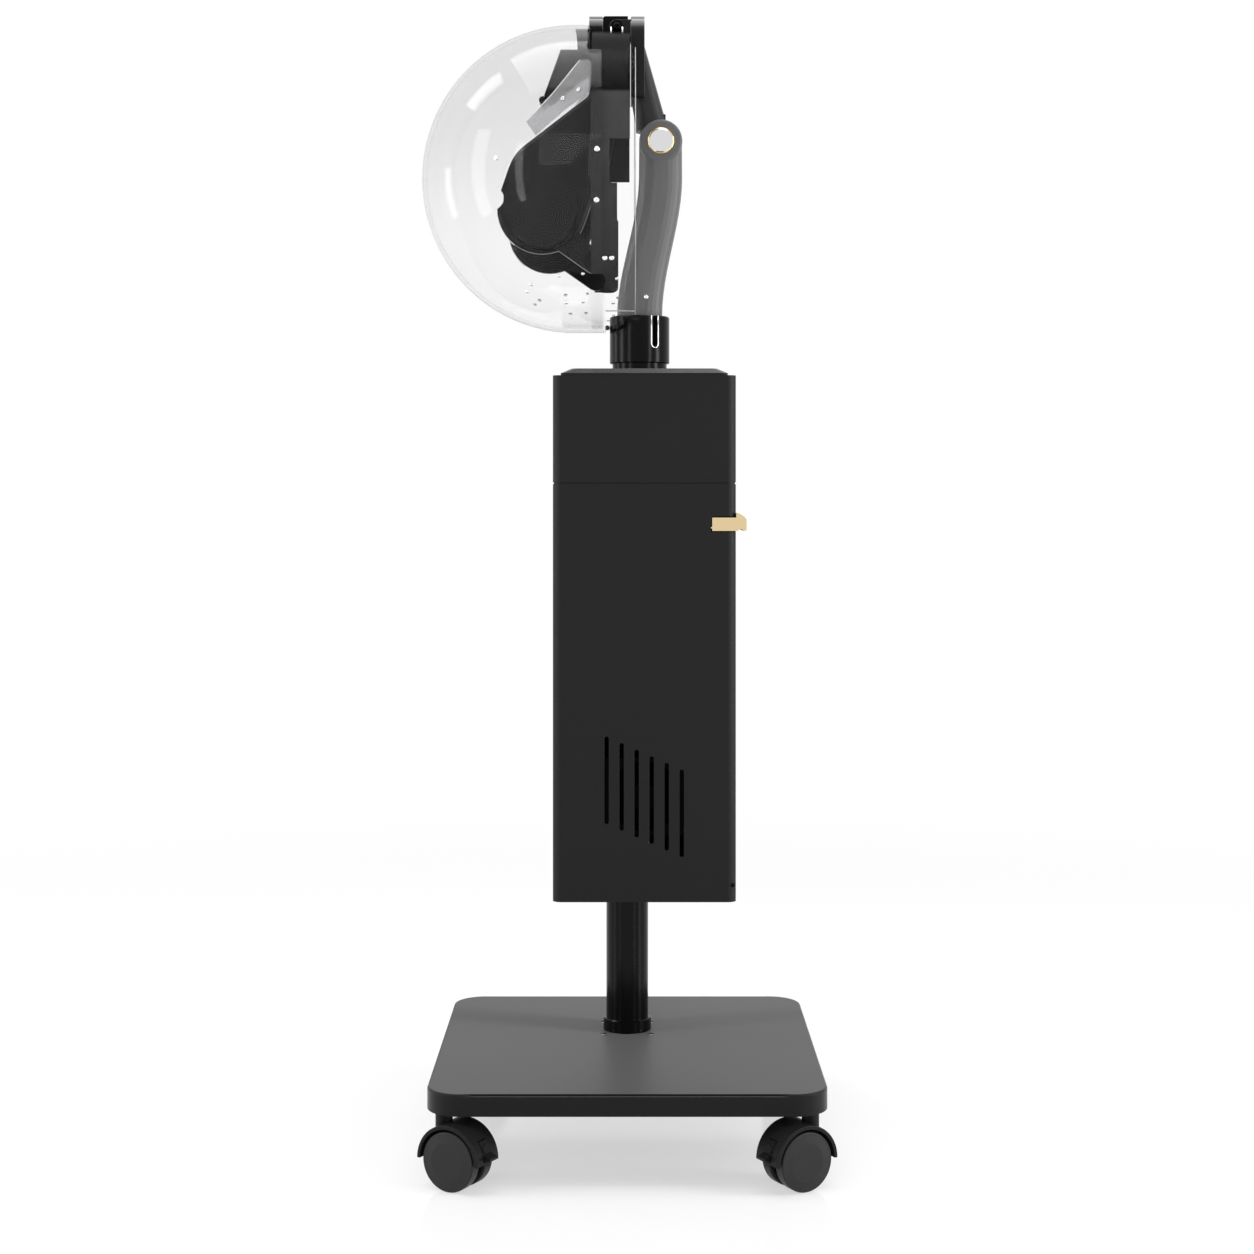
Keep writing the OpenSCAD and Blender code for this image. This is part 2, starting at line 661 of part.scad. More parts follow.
// INSIDE THE CABINET
tank_x = face_x - door_fold - 6 - tank_w / 2;
floor_top = cab_z + 2.5;
fan_x = -vent_left + vent_pitch * (vent_n - 1) / 2;
fan_z = cab_z + vent_top - vent_len / 2 - vent_step * (vent_n - 1) / 2;
fan_t = 25;
boiler_x = cab_shift - 42;
boiler_z = upper_z;
hose_bend = 18;
terminal_x = 12;     // the element's two terminals, either side of the boiler's middle
terminal_d = 8;
loop_r = boiler_d / 2 - 14;

module water_tank() {
  color([0.8, 0.85, 0.88, 0.6]) translate([tank_x, 0, floor_top + fit]) difference() {
    linear_extrude(tank_h) rounded_rect(tank_w, tank_d, 10);
    translate([0, 0, tank_wall]) linear_extrude(tank_h - 2 * tank_wall)
      rounded_rect(tank_w - 2 * tank_wall, tank_d - 2 * tank_wall, 10 - tank_wall);
    translate([0, 0, tank_h - tank_wall - 1]) cylinder(d = 36, h = tank_wall + 2);
  }
}
module tank_cap() {
  color("#1b1b1c") translate([tank_x, 0, floor_top + fit + tank_h]) union() {
    translate([0, 0, -8]) cylinder(d = 36 - 2 * fit, h = 9);
    cylinder(d = 46, h = 14, $fn = 24);
  }
}
module water_pump() {
  pump_x = cab_shift - cab_w / 2 + 34;
  color("#3a3d40") translate([pump_x, 0, floor_top]) union() {
    block([-20, -26, fit], [20, 26, 6]);
    block([-16, -18, 6], [16, 18, 40]);
    translate([0, 0, 24]) y_cyl(30, 18, 52);
    translate([0, -24, 24]) y_cyl(10, -10, 8);
    translate([0, 0, 40]) cylinder(d = 10, h = 14);
  }
}
module fan_frame() {
  fan_w = fan_d + 8;
  color("#161617") translate([fan_x, -side_y + sheet + fit, fan_z]) difference() {
    xz_extrude(0, fan_t) square([fan_w, fan_w], center = true);
    difference() {
      y_cyl(fan_d, -1, fan_t + 1);
      y_cyl(34, fan_t - 4, fan_t + 2);
      for (a = [45:90:315]) rotate([0, a, 0]) block([10, fan_t - 4, -2], [fan_d, fan_t, 2]);
    }
    y_cyl(4 + 2 * run, -1, fan_t + 3);
    for (x = [-1, 1], z = [-1, 1]) translate([x * (fan_w / 2 - 5), 0, z * (fan_w / 2 - 5)]) y_cyl(4.3, -1, fan_t + 1);
  }
}
module fan_impeller() {
  color("#202022") translate([fan_x, -side_y + sheet + fit, fan_z]) union() {
    y_cyl(32, 2, fan_t - 6);
    y_cyl(4, 2, fan_t - 0.5);
    for (a = [0:360 / 7:359]) rotate([0, a, 0])
      translate([fan_d / 4 + 1, 12, 0]) rotate([32, 0, 0]) cube([fan_d / 2 - 8, 1.6, 17], center = true);
  }
}
module boiler() {
  color("#b4b7ba") translate([boiler_x, 0, boiler_z]) difference() {
    union() {
      cylinder(d = boiler_d, h = boiler_h);
      translate([0, 0, boiler_h - 3]) cylinder(d = boiler_d + 12, h = 3);
    }
    translate([0, 0, 3]) cylinder(d = boiler_d - 5, h = boiler_h);
    for (x = [-terminal_x, terminal_x]) translate([x, 0, -1]) cylinder(d = terminal_d + 2 * run, h = 5);
  }
}
module heating_element() {
  leg_y = sqrt(loop_r * loop_r - terminal_x * terminal_x);
  color("#8f7a66") translate([boiler_x, 0, boiler_z + 14]) union() {
    difference() {
      rotate_extrude() translate([loop_r, 0]) circle(d = terminal_d);
      block([-terminal_x - 1, -60, -5], [terminal_x + 1, -10, 5]);
    }
    for (x = [-terminal_x, terminal_x]) translate([x, 0, 0]) {
      translate([0, 0, -18]) cylinder(d = terminal_d, h = 18);
      sphere(d = terminal_d);
      y_cyl(terminal_d, -leg_y, 0);
      translate([0, -leg_y, 0]) sphere(d = terminal_d + 0.2);
    }
  }
}
module boiler_lid() {
  color("#a9acaf") translate([boiler_x, 0, boiler_z + boiler_h]) difference() {
    union() {
      cylinder(d = boiler_d + 12, h = 3);
      cylinder(d = hose_d + 6, h = 8);
      translate([26, 0, 0]) cylinder(d = 12, h = 12, $fn = 6);
      for (a = [30:60:330]) rotate(a) translate([boiler_d / 2 + 2.5, 0, 0]) cylinder(d = 5, h = 5);
    }
    translate([0, 0, -1]) cylinder(d = hose_d + 2 * run, h = 12);
  }
}
// Steam hose from the boiler lid, over and up through the lid into the collar
module steam_hose() {
  rise = boiler_z + boiler_h + 4;
  turn_z = rise + 4 + hose_bend;
  out_x = collar_shift;
  color("#4a4c4e") union() {
    translate([boiler_x, 0, rise]) cylinder(d = hose_d, h = turn_z - hose_bend - rise);
    translate([boiler_x + hose_bend, 0, turn_z - hose_bend]) rotate([90, 0, 0]) rotate([0, 0, 90])
      rotate_extrude(angle = 90) translate([hose_bend, 0]) circle(d = hose_d);
    translate([0, 0, turn_z]) x_cyl(hose_d, boiler_x + hose_bend, out_x - hose_bend);
    translate([out_x - hose_bend, 0, turn_z + hose_bend]) rotate([90, 0, 0]) rotate([0, 0, -90])
      rotate_extrude(angle = 90) translate([hose_bend, 0]) circle(d = hose_d);
    translate([out_x, 0, turn_z + hose_bend]) cylinder(d = hose_d, h = collar_z + collar_floor - 1 - turn_z - hose_bend);
  }
}
module control_board() {
  board_x = panel_x - panel_t - panel_back - 14;
  color("#1f5a38") union() {
    block([board_x, -panel_w / 2 + 4, panel_z - panel_h / 2], [board_x + 1.6, panel_w / 2 - 4, panel_z + panel_h / 2]);
    for (y = [-44, -14, 16, 42]) block([board_x - 12, y - 8, panel_z - 6], [board_x, y + 8, panel_z + 16]);
    for (y = [-1, 1], z = [-1, 1])
      translate([0, y * (panel_w / 2 - 9), panel_z + z * (panel_h / 2 - 5)])
        x_cyl(6, board_x + 1, panel_x - panel_t - panel_back - fit);
  }
}

// COLLAR AND ARM
collar_floor = 6;
arm_bore = hose_d + 4;
tongue_d = boss_d - 4;
link_depth = 40;
cap_t = 3;
round_n = 2.7;   // squareness of the arm's section
loft_sides = 28;

function smooth(t) = t <= 0 ? 0 : t >= 1 ? 1 : t * t * (3 - 2 * t);
function lerp(a, b, t) = a + (b - a) * t;
function bulge(v) = sign(v) * pow(abs(v), 2 / round_n);
// One ring of a loft: centre along X, half width, half depth, height
function ring(cx, hw, hd, z) =
  [for (j = [0:loft_sides - 1]) let (a = 360 * j / loft_sides) [cx + hw * bulge(cos(a)), hd * bulge(sin(a)), z]];

module loft(rings) {
  n = loft_sides;
  m = len(rings);
  polyhedron(
    points = [for (r = rings) for (p = r) p],
    faces = concat([[for (j = [0:n - 1]) j]], [[for (j = [n - 1:-1:0]) (m - 1) * n + j]],
      [for (i = [0:m - 2], j = [0:n - 1]) [i * n + j, (i + 1) * n + j, (i + 1) * n + (j + 1) % n]],
      [for (i = [0:m - 2], j = [0:n - 1]) [i * n + j, (i + 1) * n + (j + 1) % n, i * n + (j + 1) % n]]));
}
// A disc along Y with rounded rims
module boss(d, w, r) {
  rotate([-90, 0, 0]) rotate_extrude() {
    translate([0, -w / 2 + r]) square([d / 2, w - 2 * r]);
    translate([0, -w / 2]) square([d / 2 - r, w]);
    for (s = [-1, 1]) translate([d / 2 - r, s * (w / 2 - r)]) circle(r = r);
  }
}
module swivel_collar() {
  color("#1d1d1e") translate([collar_shift, 0, 0]) difference() {
    union() {
      translate([0, 0, lid_z]) cylinder(d = neck_ring_d, h = neck_ring_h + 1);
      translate([0, 0, collar_z]) rotate_extrude() polygon([
        [0, 0], [collar_d / 2 - 1, 0], [collar_d / 2, 1], [collar_d / 2, collar_h - 1.5],
        [collar_d / 2 - 1.5, collar_h], [0, collar_h]]);
    }
    translate([0, 0, lid_z - 1]) cylinder(d = hose_d + 2 * run, h = collar_h);
    translate([0, 0, collar_z + collar_floor]) cylinder(d = spigot_d + 2 * run, h = collar_h);
    rotate([0, 0, -60]) {
      block([spigot_d / 2 - 2, -slot_w / 2, collar_top - slot_len + slot_w / 2], [collar_d, slot_w / 2, collar_top + 1]);
      translate([0, 0, collar_top - slot_len + slot_w / 2]) x_cyl(slot_w, spigot_d / 2 - 2, collar_d);
    }
  }
}
arm_rings = 15;
module lower_arm() {
  arm_z = collar_top + fit;
  color("#39393a") difference() {
    union() {
      translate([collar_shift, 0, collar_z + collar_floor + fit])
        cylinder(d = spigot_d, h = collar_h - collar_floor + 1);
      loft([for (i = [0:arm_rings]) let (z = lerp(arm_z, knuckle_z, i / arm_rings))
        ring(collar_shift + arm_lean * smooth((z - collar_top) / arm_lean_h),
          lerp(arm_w_low, arm_w_top, i / arm_rings) / 2, arm_depth / 2, z)]);
      translate([knuckle_x, 0, knuckle_z]) boss(boss_d, arm_depth, 3);
    }
    translate([knuckle_x, 0, knuckle_z]) {
      y_cyl(tongue_d + 2 * part_gap, -tongue_w / 2 - fit, tongue_w / 2 + fit);
      block([-boss_d, -tongue_w / 2 - fit, 0], [boss_d, tongue_w / 2 + fit, boss_d]);
      y_cyl(knuckle_pin_d + 2 * run, -arm_depth, arm_depth);
    }
    translate([collar_shift, 0, collar_z]) cylinder(d = arm_bore, h = collar_h + 40);
  }
}
module knuckle_pin() {
  color("#9b9da0") translate([knuckle_x, 0, knuckle_z]) y_cyl(knuckle_pin_d, -arm_depth / 2, arm_depth / 2);
}
module knuckle_cap() {
  color("#d6d8da") translate([knuckle_x, 0, knuckle_z]) mirror_copy([0, 1, 0])
    translate([0, arm_depth / 2, 0]) rotate([-90, 0, 0]) rotate_extrude()
      polygon([[0, 0], [cap_d / 2, 0], [cap_d / 2, cap_t - 1], [cap_d / 2 - 1, cap_t], [0, cap_t]]);
}

// HOOD HINGE
leaf_x = hinge_x + leaf_gap / 2;     // inner face of the link's plate
plate_x = hinge_x - leaf_gap / 2;    // inner face of the hood's plate
ear_w = 28;
slab_half = 13.4;
slab_rise = leaf_rise - 0.8;
leaf_round = 28;
leaf_foot = 5;
link_low = 14;      // where the link's body starts above the knuckle axis
link_high = 118;    // where it has run into the plate
chamfer = 4;

module leaf_2d() {
  h = leaf_drop + leaf_rise;
  translate([0, hinge_z - leaf_drop]) {
    translate([-leaf_w / 2, leaf_foot]) square([leaf_w, h - leaf_foot - leaf_round]);
    translate([-leaf_w / 2 + leaf_foot, 0]) square([leaf_w - 2 * leaf_foot, leaf_foot + 1]);
    translate([-leaf_w / 2 + leaf_round, 1]) square([leaf_w - 2 * leaf_round, h - 1]);
    for (s = [-1, 1]) {
      translate([s * (leaf_w / 2 - leaf_round), h - leaf_round]) circle(r = leaf_round);
      translate([s * (leaf_w / 2 - leaf_foot), leaf_foot]) circle(r = leaf_foot);
    }
  }
}
module edge_cut(x) {
  translate([x, 0, hinge_z + leaf_rise]) rotate([0, 45, 0]) cube([chamfer, leaf_w + 2, chamfer], center = true);
}
module upper_link() {
  left = leaf_x - knuckle_x;
  right = left + leaf_t;
  color("#3d3d3e") difference() {
    union() {
      difference() {
        translate([knuckle_x, 0, knuckle_z]) loft([for (i = [0:8]) let (
          t = i / 8, z = lerp(link_low, link_high, t),
          xl = lerp(-tongue_d / 2 - 6, left, smooth(t * 2.2)), xr = lerp(tongue_d / 2 - 14, right, t))
          ring((xl + xr) / 2, (xr - xl) / 2, link_depth / 2, z)]);
        translate([knuckle_x, 0, knuckle_z]) y_cyl(boss_d + 2 * part_gap, -link_depth, link_depth);
      }
      yz_extrude(leaf_x, leaf_x + leaf_t) leaf_2d();
      for (s = [0, 1]) mirror([0, s, 0]) translate([hinge_x, 0, hinge_z]) {
        y_cyl(barrel_d, barrel_mid / 2 + fit, ear_w);
        block([0, barrel_mid / 2 + fit, -barrel_d / 2], [leaf_gap / 2 + 1, ear_w, barrel_d / 2]);
      }
      translate([knuckle_x, 0, knuckle_z]) {
        y_cyl(tongue_d, -tongue_w / 2, tongue_w / 2);
        block([-tongue_d / 2, -tongue_w / 2, 0], [6, tongue_w / 2, boss_d / 2 + 8]);
      }
    }
    translate([hinge_x, 0, hinge_z]) {
      y_cyl(hinge_pin_d + 2 * run, -leaf_w, leaf_w);
      y_cyl(2 * norm([slab_half, slab_rise]) + 2, -barrel_mid / 2 - fit, barrel_mid / 2 + fit);
    }
    edge_cut(leaf_x);
    translate([knuckle_x, 0, knuckle_z]) y_cyl(knuckle_pin_d + 2 * run, -arm_depth, arm_depth);
  }
}
module hinge_pin() {
  color("#b9bcbf") translate([hinge_x, 0, hinge_z]) union() {
    y_cyl(hinge_pin_d, -ear_w - 1, ear_w + 1);
    y_cyl(14, ear_w + fit, ear_w + 4);
    y_cyl(14, -ear_w - 4, -ear_w - fit);
  }
}
band_in = dome_r - dome_wall;
saddle_w = 96;
sleeve_t = 3;
ring_out = band_in - fit - sleeve_t - fit;
module hood_bracket() {
  color("#0f0f10") difference() {
    union() {
      yz_extrude(plate_x - leaf_t, plate_x) leaf_2d();
      block([plate_x - 1, -leaf_w / 2 + 3, hinge_z - leaf_drop],
        [leaf_x - part_gap, leaf_w / 2 - 3, hinge_z - barrel_d]);
      translate([hinge_x, 0, hinge_z]) {
        y_cyl(barrel_d, -barrel_mid / 2, barrel_mid / 2);
        block([-leaf_gap / 2 - 1, -barrel_mid / 2, -barrel_d / 2], [0, barrel_mid / 2, slab_rise]);
        block([-slab_half, -barrel_mid / 2, 0], [slab_half, barrel_mid / 2, slab_rise]);
      }
      // saddle that lies under the dome's edge
      translate([dome_x, 0, dome_z]) intersection() {
        difference() {
          x_cyl(2 * (band_in - fit), 2, plate_x - dome_x - leaf_t + 1);
          x_cyl(2 * (band_in - fit) - 9, 0, leaf_gap);
        }
        block([0, -saddle_w / 2, 0], [leaf_gap, saddle_w / 2, dome_r]);
      }
    }
    translate([hinge_x, 0, hinge_z]) y_cyl(hinge_pin_d + 2 * run, -leaf_w, leaf_w);
    edge_cut(plate_x);
  }
}

// HOOD, revolved about an axis along X through the dome's centre
module at_dome() { translate([dome_x, 0, dome_z]) children(); }
// Revolves a (radius, distance along X) outline; 0 degrees is the top and 90 the near side
module x_revolve(a0, a1) { rotate([0, 90, 0]) rotate([0, 0, 180 + a0]) rotate_extrude(angle = a1 - a0) children(); }
lap_end = seam_x + lap_w;

module bracket_notch() {
  block([plate_x - leaf_t - part_gap, -band_gap, dome_z], [leaf_x + 60, band_gap, dome_z + dome_r + 9]);
}
module clear_dome() {
  color([0.9, 0.93, 0.95, 0.35]) difference() {
    at_dome() rotate([0, 90, 0]) rotate_extrude($fn = 128) {
      intersection() {
        difference() { circle(r = dome_r); circle(r = band_in); }
        translate([0, -dome_r - 1]) square([dome_r + 1, dome_r + 1]);
      }
      translate([band_in, -0.01]) square([dome_wall, lap_end + 0.01]);
    }
    bracket_notch();
  }
}
module clear_band() {
  color([0.9, 0.93, 0.95, 0.35]) difference() {
    at_dome() rotate([0, 90, 0]) rotate_extrude($fn = 128) {
      translate([band_in - fit - sleeve_t, seam_x]) square([sleeve_t, lap_w + fit + 3]);
      translate([band_in - fit - sleeve_t, lap_end + fit]) square([dome_wall + fit + sleeve_t, 3]);
      translate([band_in, lap_end + fit]) square([dome_wall, lip_x - lap_end - fit]);
      translate([band_in, lip_x - lip_bead]) square([dome_wall + 1.2, lip_bead]);
    }
    bracket_notch();
    at_dome() block([notch_x, -notch_half, -dome_r - 9], [lip_x + 9, notch_half, 0]);
  }
}
yoke_x = seam_x + 1;
yoke_top = lip_x - 7;       // how far its upper part reaches towards the lip
yoke_waist = yoke_w - 9;    // width between the upper part and the ends
yoke_corner = 9.5;
// A strip of the ring, thinner on each face by an inset, so that no two strips share a face
module ring_strip(a0, a1, x0, x1, inset) {
  x_revolve(a0, a1) translate([ring_out - yoke_t + inset, x0]) square([yoke_t - 2 * inset, x1 - x0]);
}
module yoke_end() {
  corner_x = yoke_x + yoke_w - yoke_corner;
  intersection() {
    difference() {
      x_cyl(2 * ring_out - 0.3, corner_x - yoke_corner, corner_x + yoke_corner);
      x_cyl(2 * (ring_out - yoke_t) + 0.3, 0, dome_r);
    }
    rotate([yoke_sweep - 3, 0, 0]) translate([corner_x, 0, 0]) cylinder(r = yoke_corner - 0.2, h = dome_r);
  }
}
module carrying_ring() {
  start = asin((leaf_w / 2 + fit) / (ring_out - yoke_t));
  color("#121213") at_dome() mirror_copy([0, 1, 0]) union() {
    ring_strip(start, yoke_sweep, yoke_x, yoke_x + yoke_waist, 0);
    ring_strip(start + 0.2, 82.5, yoke_x + 12, yoke_top, 0.5);
    ring_strip(99, yoke_sweep - 3, yoke_x + 12, yoke_x + yoke_w, 0.3);
    ring_strip(85, 97, yoke_x - 2.5, yoke_x + 5, 0.4);
    yoke_end();
  }
}
// Teardrop side pod: [x, z, radius] of its three rounds, from the dome's centre
pod_rounds = [[-35, -50, 52], [-24, -18, 52], [31, 70, 16]];
pod_edge = 4;
module pod_outline(inset) { hull() for (c = pod_rounds) translate([c[0], c[1]]) circle(r = c[2] - inset, $fn = 40); }
module side_pod() {
  top_lug = [lap_end - 1, 92];
  low_lug = [lap_end - 10, -112];
  intersection() {
    union() {
      hull() {
        xz_extrude(-pod_y - pod_t, -pod_y) pod_outline(pod_edge);
        xz_extrude(-pod_y - pod_t + pod_edge, -pod_y - pod_edge) pod_outline(0);
      }
      xz_extrude(-pod_y - pod_t - oval_t, -pod_y - pod_t + 1) translate([-37, -43]) rotate(8)
        polygon([for (a = [0:9:351]) [42 * cos(a), 54 * sin(a)]]);
      for (lug = [top_lug, low_lug]) translate([lug[0], 0, lug[1]]) y_cyl(22, -dome_r, -pod_y - 3);
      xz_extrude(-pod_y - 14, -pod_y - 3) hull() {
        translate(low_lug) circle(d = 24, $fn = 32);
        translate([-6, -86]) circle(d = 32, $fn = 32);
      }
      xz_extrude(-pod_y - 14, -pod_y - 3) hull() {
        translate(top_lug) circle(d = 22, $fn = 32);
        translate([pod_rounds[2][0], pod_rounds[2][1]]) circle(d = 30, $fn = 32);
      }
    }
    x_cyl(2 * (ring_out - yoke_t - fit), -dome_r, dome_r);
  }
}
module side_pods() {
  color("#0d0d0e") at_dome() mirror_copy([0, 1, 0]) difference() {
    side_pod();
    translate([-92, 0, -38]) y_cyl(26, -dome_r, 0);
  }
}
duct_w = 52;
module mist_duct() {
  x1 = plate_x - leaf_t - fit;
  color("#0b0b0c") union() {
    xz_extrude(-duct_w / 2, duct_w / 2) polygon([
      [x1, hinge_z - 27], [x1 - 34, hinge_z - 27], [x1 - 54, hinge_z - 82], [x1 - 47, hinge_z - 86], [x1, hinge_z - 48]]);
    translate([x1 - 56, 0, hinge_z - 86]) y_cyl(9, -duct_w / 2 + 8, duct_w / 2 - 8);
  }
}
// Clear straps on the inner faces of the pods, from the dome's centre
strap_t = 3;
strap_outline = [[32, 99], [19, 125], [8, 124], [-23, 86], [-54, 53], [-43, 37], [-13, 64], [19, 87]];
module mist_blade() {
  color([0.85, 0.88, 0.9, 0.45]) at_dome() mirror_copy([0, 1, 0])
    xz_extrude(-pod_y + fit, -pod_y + fit + strap_t) polygon(strap_outline);
}

base_tray();
ballast_plate();
post_tube();
foot_ring();
post_flange();
base_bolts();
caster_stems();
caster_body_1();
caster_body_2();
caster_body_3();
caster_body_4();
caster_wheels_1();
caster_wheels_2();
caster_wheels_3();
caster_wheels_4();
caster_axle_1();
caster_axle_2();
caster_axle_3();
caster_axle_4();
caster_brake_1();
caster_brake_2();
caster_brake_3();
caster_brake_4();
lower_shell();
cabinet_floor();
mid_deck();
upper_shell();
cabinet_lid();
swivel_collar();
service_door();
door_handle();
door_hinge_pin();
mains_inlet();
power_rocker();
control_panel();
button_1();
button_2();
button_3();
water_tank();
tank_cap();
water_pump();
fan_frame();
fan_impeller();
boiler();
boiler_lid();
heating_element();
control_board();
steam_hose();
lower_arm();
knuckle_pin();
knuckle_cap();
upper_link();
hinge_pin();
hood_bracket();
clear_dome();
clear_band();
carrying_ring();
side_pods();
mist_duct();
mist_blade();
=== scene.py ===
# %% [markdown]
# A hair steamer, dressed on its CAD frame.
# The frame holds every rigid part at its real size. This file adds the studio, the finishes
# and the small fittings that are too fine for the CAD. All numbers are in the frame's metres,
# written as millimetres times MM, so they can be compared with the part's source.

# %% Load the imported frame
import math

import bmesh
import bpy
from mathutils import Matrix, Vector


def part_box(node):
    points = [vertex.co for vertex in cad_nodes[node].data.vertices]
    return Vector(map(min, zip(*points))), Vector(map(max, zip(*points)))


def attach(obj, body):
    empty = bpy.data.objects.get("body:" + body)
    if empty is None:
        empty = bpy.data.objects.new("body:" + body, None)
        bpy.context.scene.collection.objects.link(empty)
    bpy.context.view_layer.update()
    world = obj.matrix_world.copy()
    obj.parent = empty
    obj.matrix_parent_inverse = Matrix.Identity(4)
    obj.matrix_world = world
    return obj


MM = 0.001
SIDES = ((-1, "near"), (1, "far"))   # the side that faces the camera, and the one behind it
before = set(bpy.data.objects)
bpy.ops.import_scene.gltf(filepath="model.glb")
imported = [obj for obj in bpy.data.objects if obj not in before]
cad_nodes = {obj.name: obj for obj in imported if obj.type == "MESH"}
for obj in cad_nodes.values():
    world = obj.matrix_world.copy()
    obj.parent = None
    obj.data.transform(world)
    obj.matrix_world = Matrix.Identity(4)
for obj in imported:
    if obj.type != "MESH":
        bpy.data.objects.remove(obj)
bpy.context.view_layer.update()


def mm(x, y, z):
    """A point of the frame, given in millimetres."""
    return Vector((x, y, z)) * MM


def box_mm(name):
    """The lowest and highest corner of a CAD node, in millimetres."""
    return tuple(Vector(corner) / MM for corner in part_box(name))


def middle_mm(name):
    """The middle of a CAD node, in millimetres."""
    low, high = box_mm(name)
    return (low + high) / 2


# %% [markdown]
# The photograph is taken from the front, with a long lens, a little above the middle of the
# machine. The top of the base shows as a wide band, so the lens is 2.55 m away and level with
# the cabinet. All upright edges in the photograph are parallel, so the camera looks level and
# a lens shift does the framing.

# %% Camera
PHOTO = 1254                 # the photograph's side in pixels
FOCAL = 2100                 # focal length in the photograph's pixels
HORIZON = 485                # row of the photograph that is level with the lens
SENSOR = 36                  # width of the camera's sensor in millimetres
LENS_PLACE = (-0.3, -2553, 764)
camera_data = bpy.data.cameras.new("photo_camera")
camera_data.sensor_width = SENSOR
camera_data.lens = FOCAL / PHOTO * SENSOR
camera_data.shift_y = (HORIZON - PHOTO / 2) / PHOTO
camera_data.clip_end = 50
camera = bpy.data.objects.new("photo_camera", camera_data)
bpy.context.scene.collection.objects.link(camera)
camera.location = mm(*LENS_PLACE)
camera.rotation_euler = (math.pi / 2, 0, 0)
bpy.context.scene.camera = camera
bpy.context.scene.view_settings.view_transform = "Standard"
print("camera: lens", round(camera_data.lens, 1), "mm, shift", round(camera_data.shift_y, 3))


# %% [markdown]
# Materials are made of nodes. These few helpers keep the later cells short: one adds a node
# with its settings, one joins sockets two by two, and one makes a material and hands back its
# main shader.

# %% Node helpers
def add_node(tree, kind, values=None, **settings):
    """Adds a node, with its settings and the values of its inputs."""
    node = tree.nodes.new(kind)
    for name, value in settings.items():
        setattr(node, name, value)
    for name, value in (values or {}).items():
        node.inputs[name].default_value = value
    return node


def join(tree, *pairs):
    """Joins each pair's output to its input."""
    for source, target in pairs:
        tree.links.new(source, target)


def new_material(name, **values):
    """A material with one Principled shader, whose sockets are set by name."""
    material = bpy.data.materials.new(name)
    material.use_nodes = True
    shader = material.node_tree.nodes["Principled BSDF"]
    for key, value in values.items():
        shader.inputs[key.replace("_", " ")].default_value = value
    return material, shader


print("node helpers: add_node, join, new_material")


# %% [markdown]
# An effect that several finishes share is a node group, built once. The first helper makes an
# empty group from the names and usual values of its inputs. The second puts a group into a
# material with that material's own values, joins its outputs to the shader, and turns its
# height into a bump.

# %% Group helpers
SOCKET_KINDS = {1: "NodeSocketFloat", 3: "NodeSocketVector", 4: "NodeSocketColor"}


def new_group(name, inputs, outputs):
    """An empty node group. The count of numbers in a socket's value gives its kind."""
    group = bpy.data.node_groups.new(name, "ShaderNodeTree")
    for label, default in inputs.items():
        kind = SOCKET_KINDS[len(default) if isinstance(default, tuple) else 1]
        socket = group.interface.new_socket(name=label, in_out="INPUT", socket_type=kind)
        socket.default_value = default
    for label, size in outputs.items():
        group.interface.new_socket(name=label, in_out="OUTPUT", socket_type=SOCKET_KINDS[size])
    return group, add_node(group, "NodeGroupInput"), add_node(group, "NodeGroupOutput")


def place_group(material, group, values, links, bump=0.0, distance=0.0002):
    """Puts a group into a material, joins its outputs to the shader, and its height to a bump."""
    tree = material.node_tree
    shader = tree.nodes["Principled BSDF"]
    node = add_node(tree, "ShaderNodeGroup", values, node_tree=group)
    for output, socket in links.items():
        tree.links.new(node.outputs[output], shader.inputs[socket])
    if bump:
        relief = add_node(tree, "ShaderNodeBump", {"Strength": bump, "Distance": distance})
        join(tree, (node.outputs["Height"], relief.inputs["Height"]),
             (relief.outputs["Normal"], shader.inputs["Normal"]))


print("group helpers: new_group, place_group")

# %% [markdown]
# Powder coat, moulded plastic and satin paint all share one thing: a fine grain that breaks up
# the highlight, and a slow change of tone from one area to the next. One group makes both
# from object coordinates, so its grain has a real size in metres.

# %% Group: grain and tone
grain, grain_in, grain_out = new_group(
    "surface_grain",
    {"Tone A": (0.02, 0.02, 0.02, 1), "Tone B": (0.03, 0.03, 0.03, 1), "Grain Size": 900.0,
     "Cloud Size": 6.0, "Rough Low": 0.4, "Rough High": 0.5},
    {"Color": 4, "Roughness": 1, "Height": 1})
place = add_node(grain, "ShaderNodeTexCoord")
fine = add_node(grain, "ShaderNodeTexNoise", {"Detail": 3.0, "Roughness": 0.6})
cloud = add_node(grain, "ShaderNodeTexNoise", {"Detail": 2.0})
tone = add_node(grain, "ShaderNodeMix", data_type="RGBA")
rough = add_node(grain, "ShaderNodeMapRange")
join(grain,
     (place.outputs["Object"], fine.inputs["Vector"]),
     (place.outputs["Object"], cloud.inputs["Vector"]),
     (grain_in.outputs["Grain Size"], fine.inputs["Scale"]),
     (grain_in.outputs["Cloud Size"], cloud.inputs["Scale"]),
     (cloud.outputs["Fac"], tone.inputs["Factor"]),
     (grain_in.outputs["Tone A"], tone.inputs["A"]),
     (grain_in.outputs["Tone B"], tone.inputs["B"]),
     (fine.outputs["Fac"], rough.inputs["Value"]),
     (grain_in.outputs["Rough Low"], rough.inputs["To Min"]),
     (grain_in.outputs["Rough High"], rough.inputs["To Max"]),
     (tone.outputs["Result"], grain_out.inputs["Color"]),
     (rough.outputs["Result"], grain_out.inputs["Roughness"]),
     (fine.outputs["Fac"], grain_out.inputs["Height"]))
print("group:", grain.name)

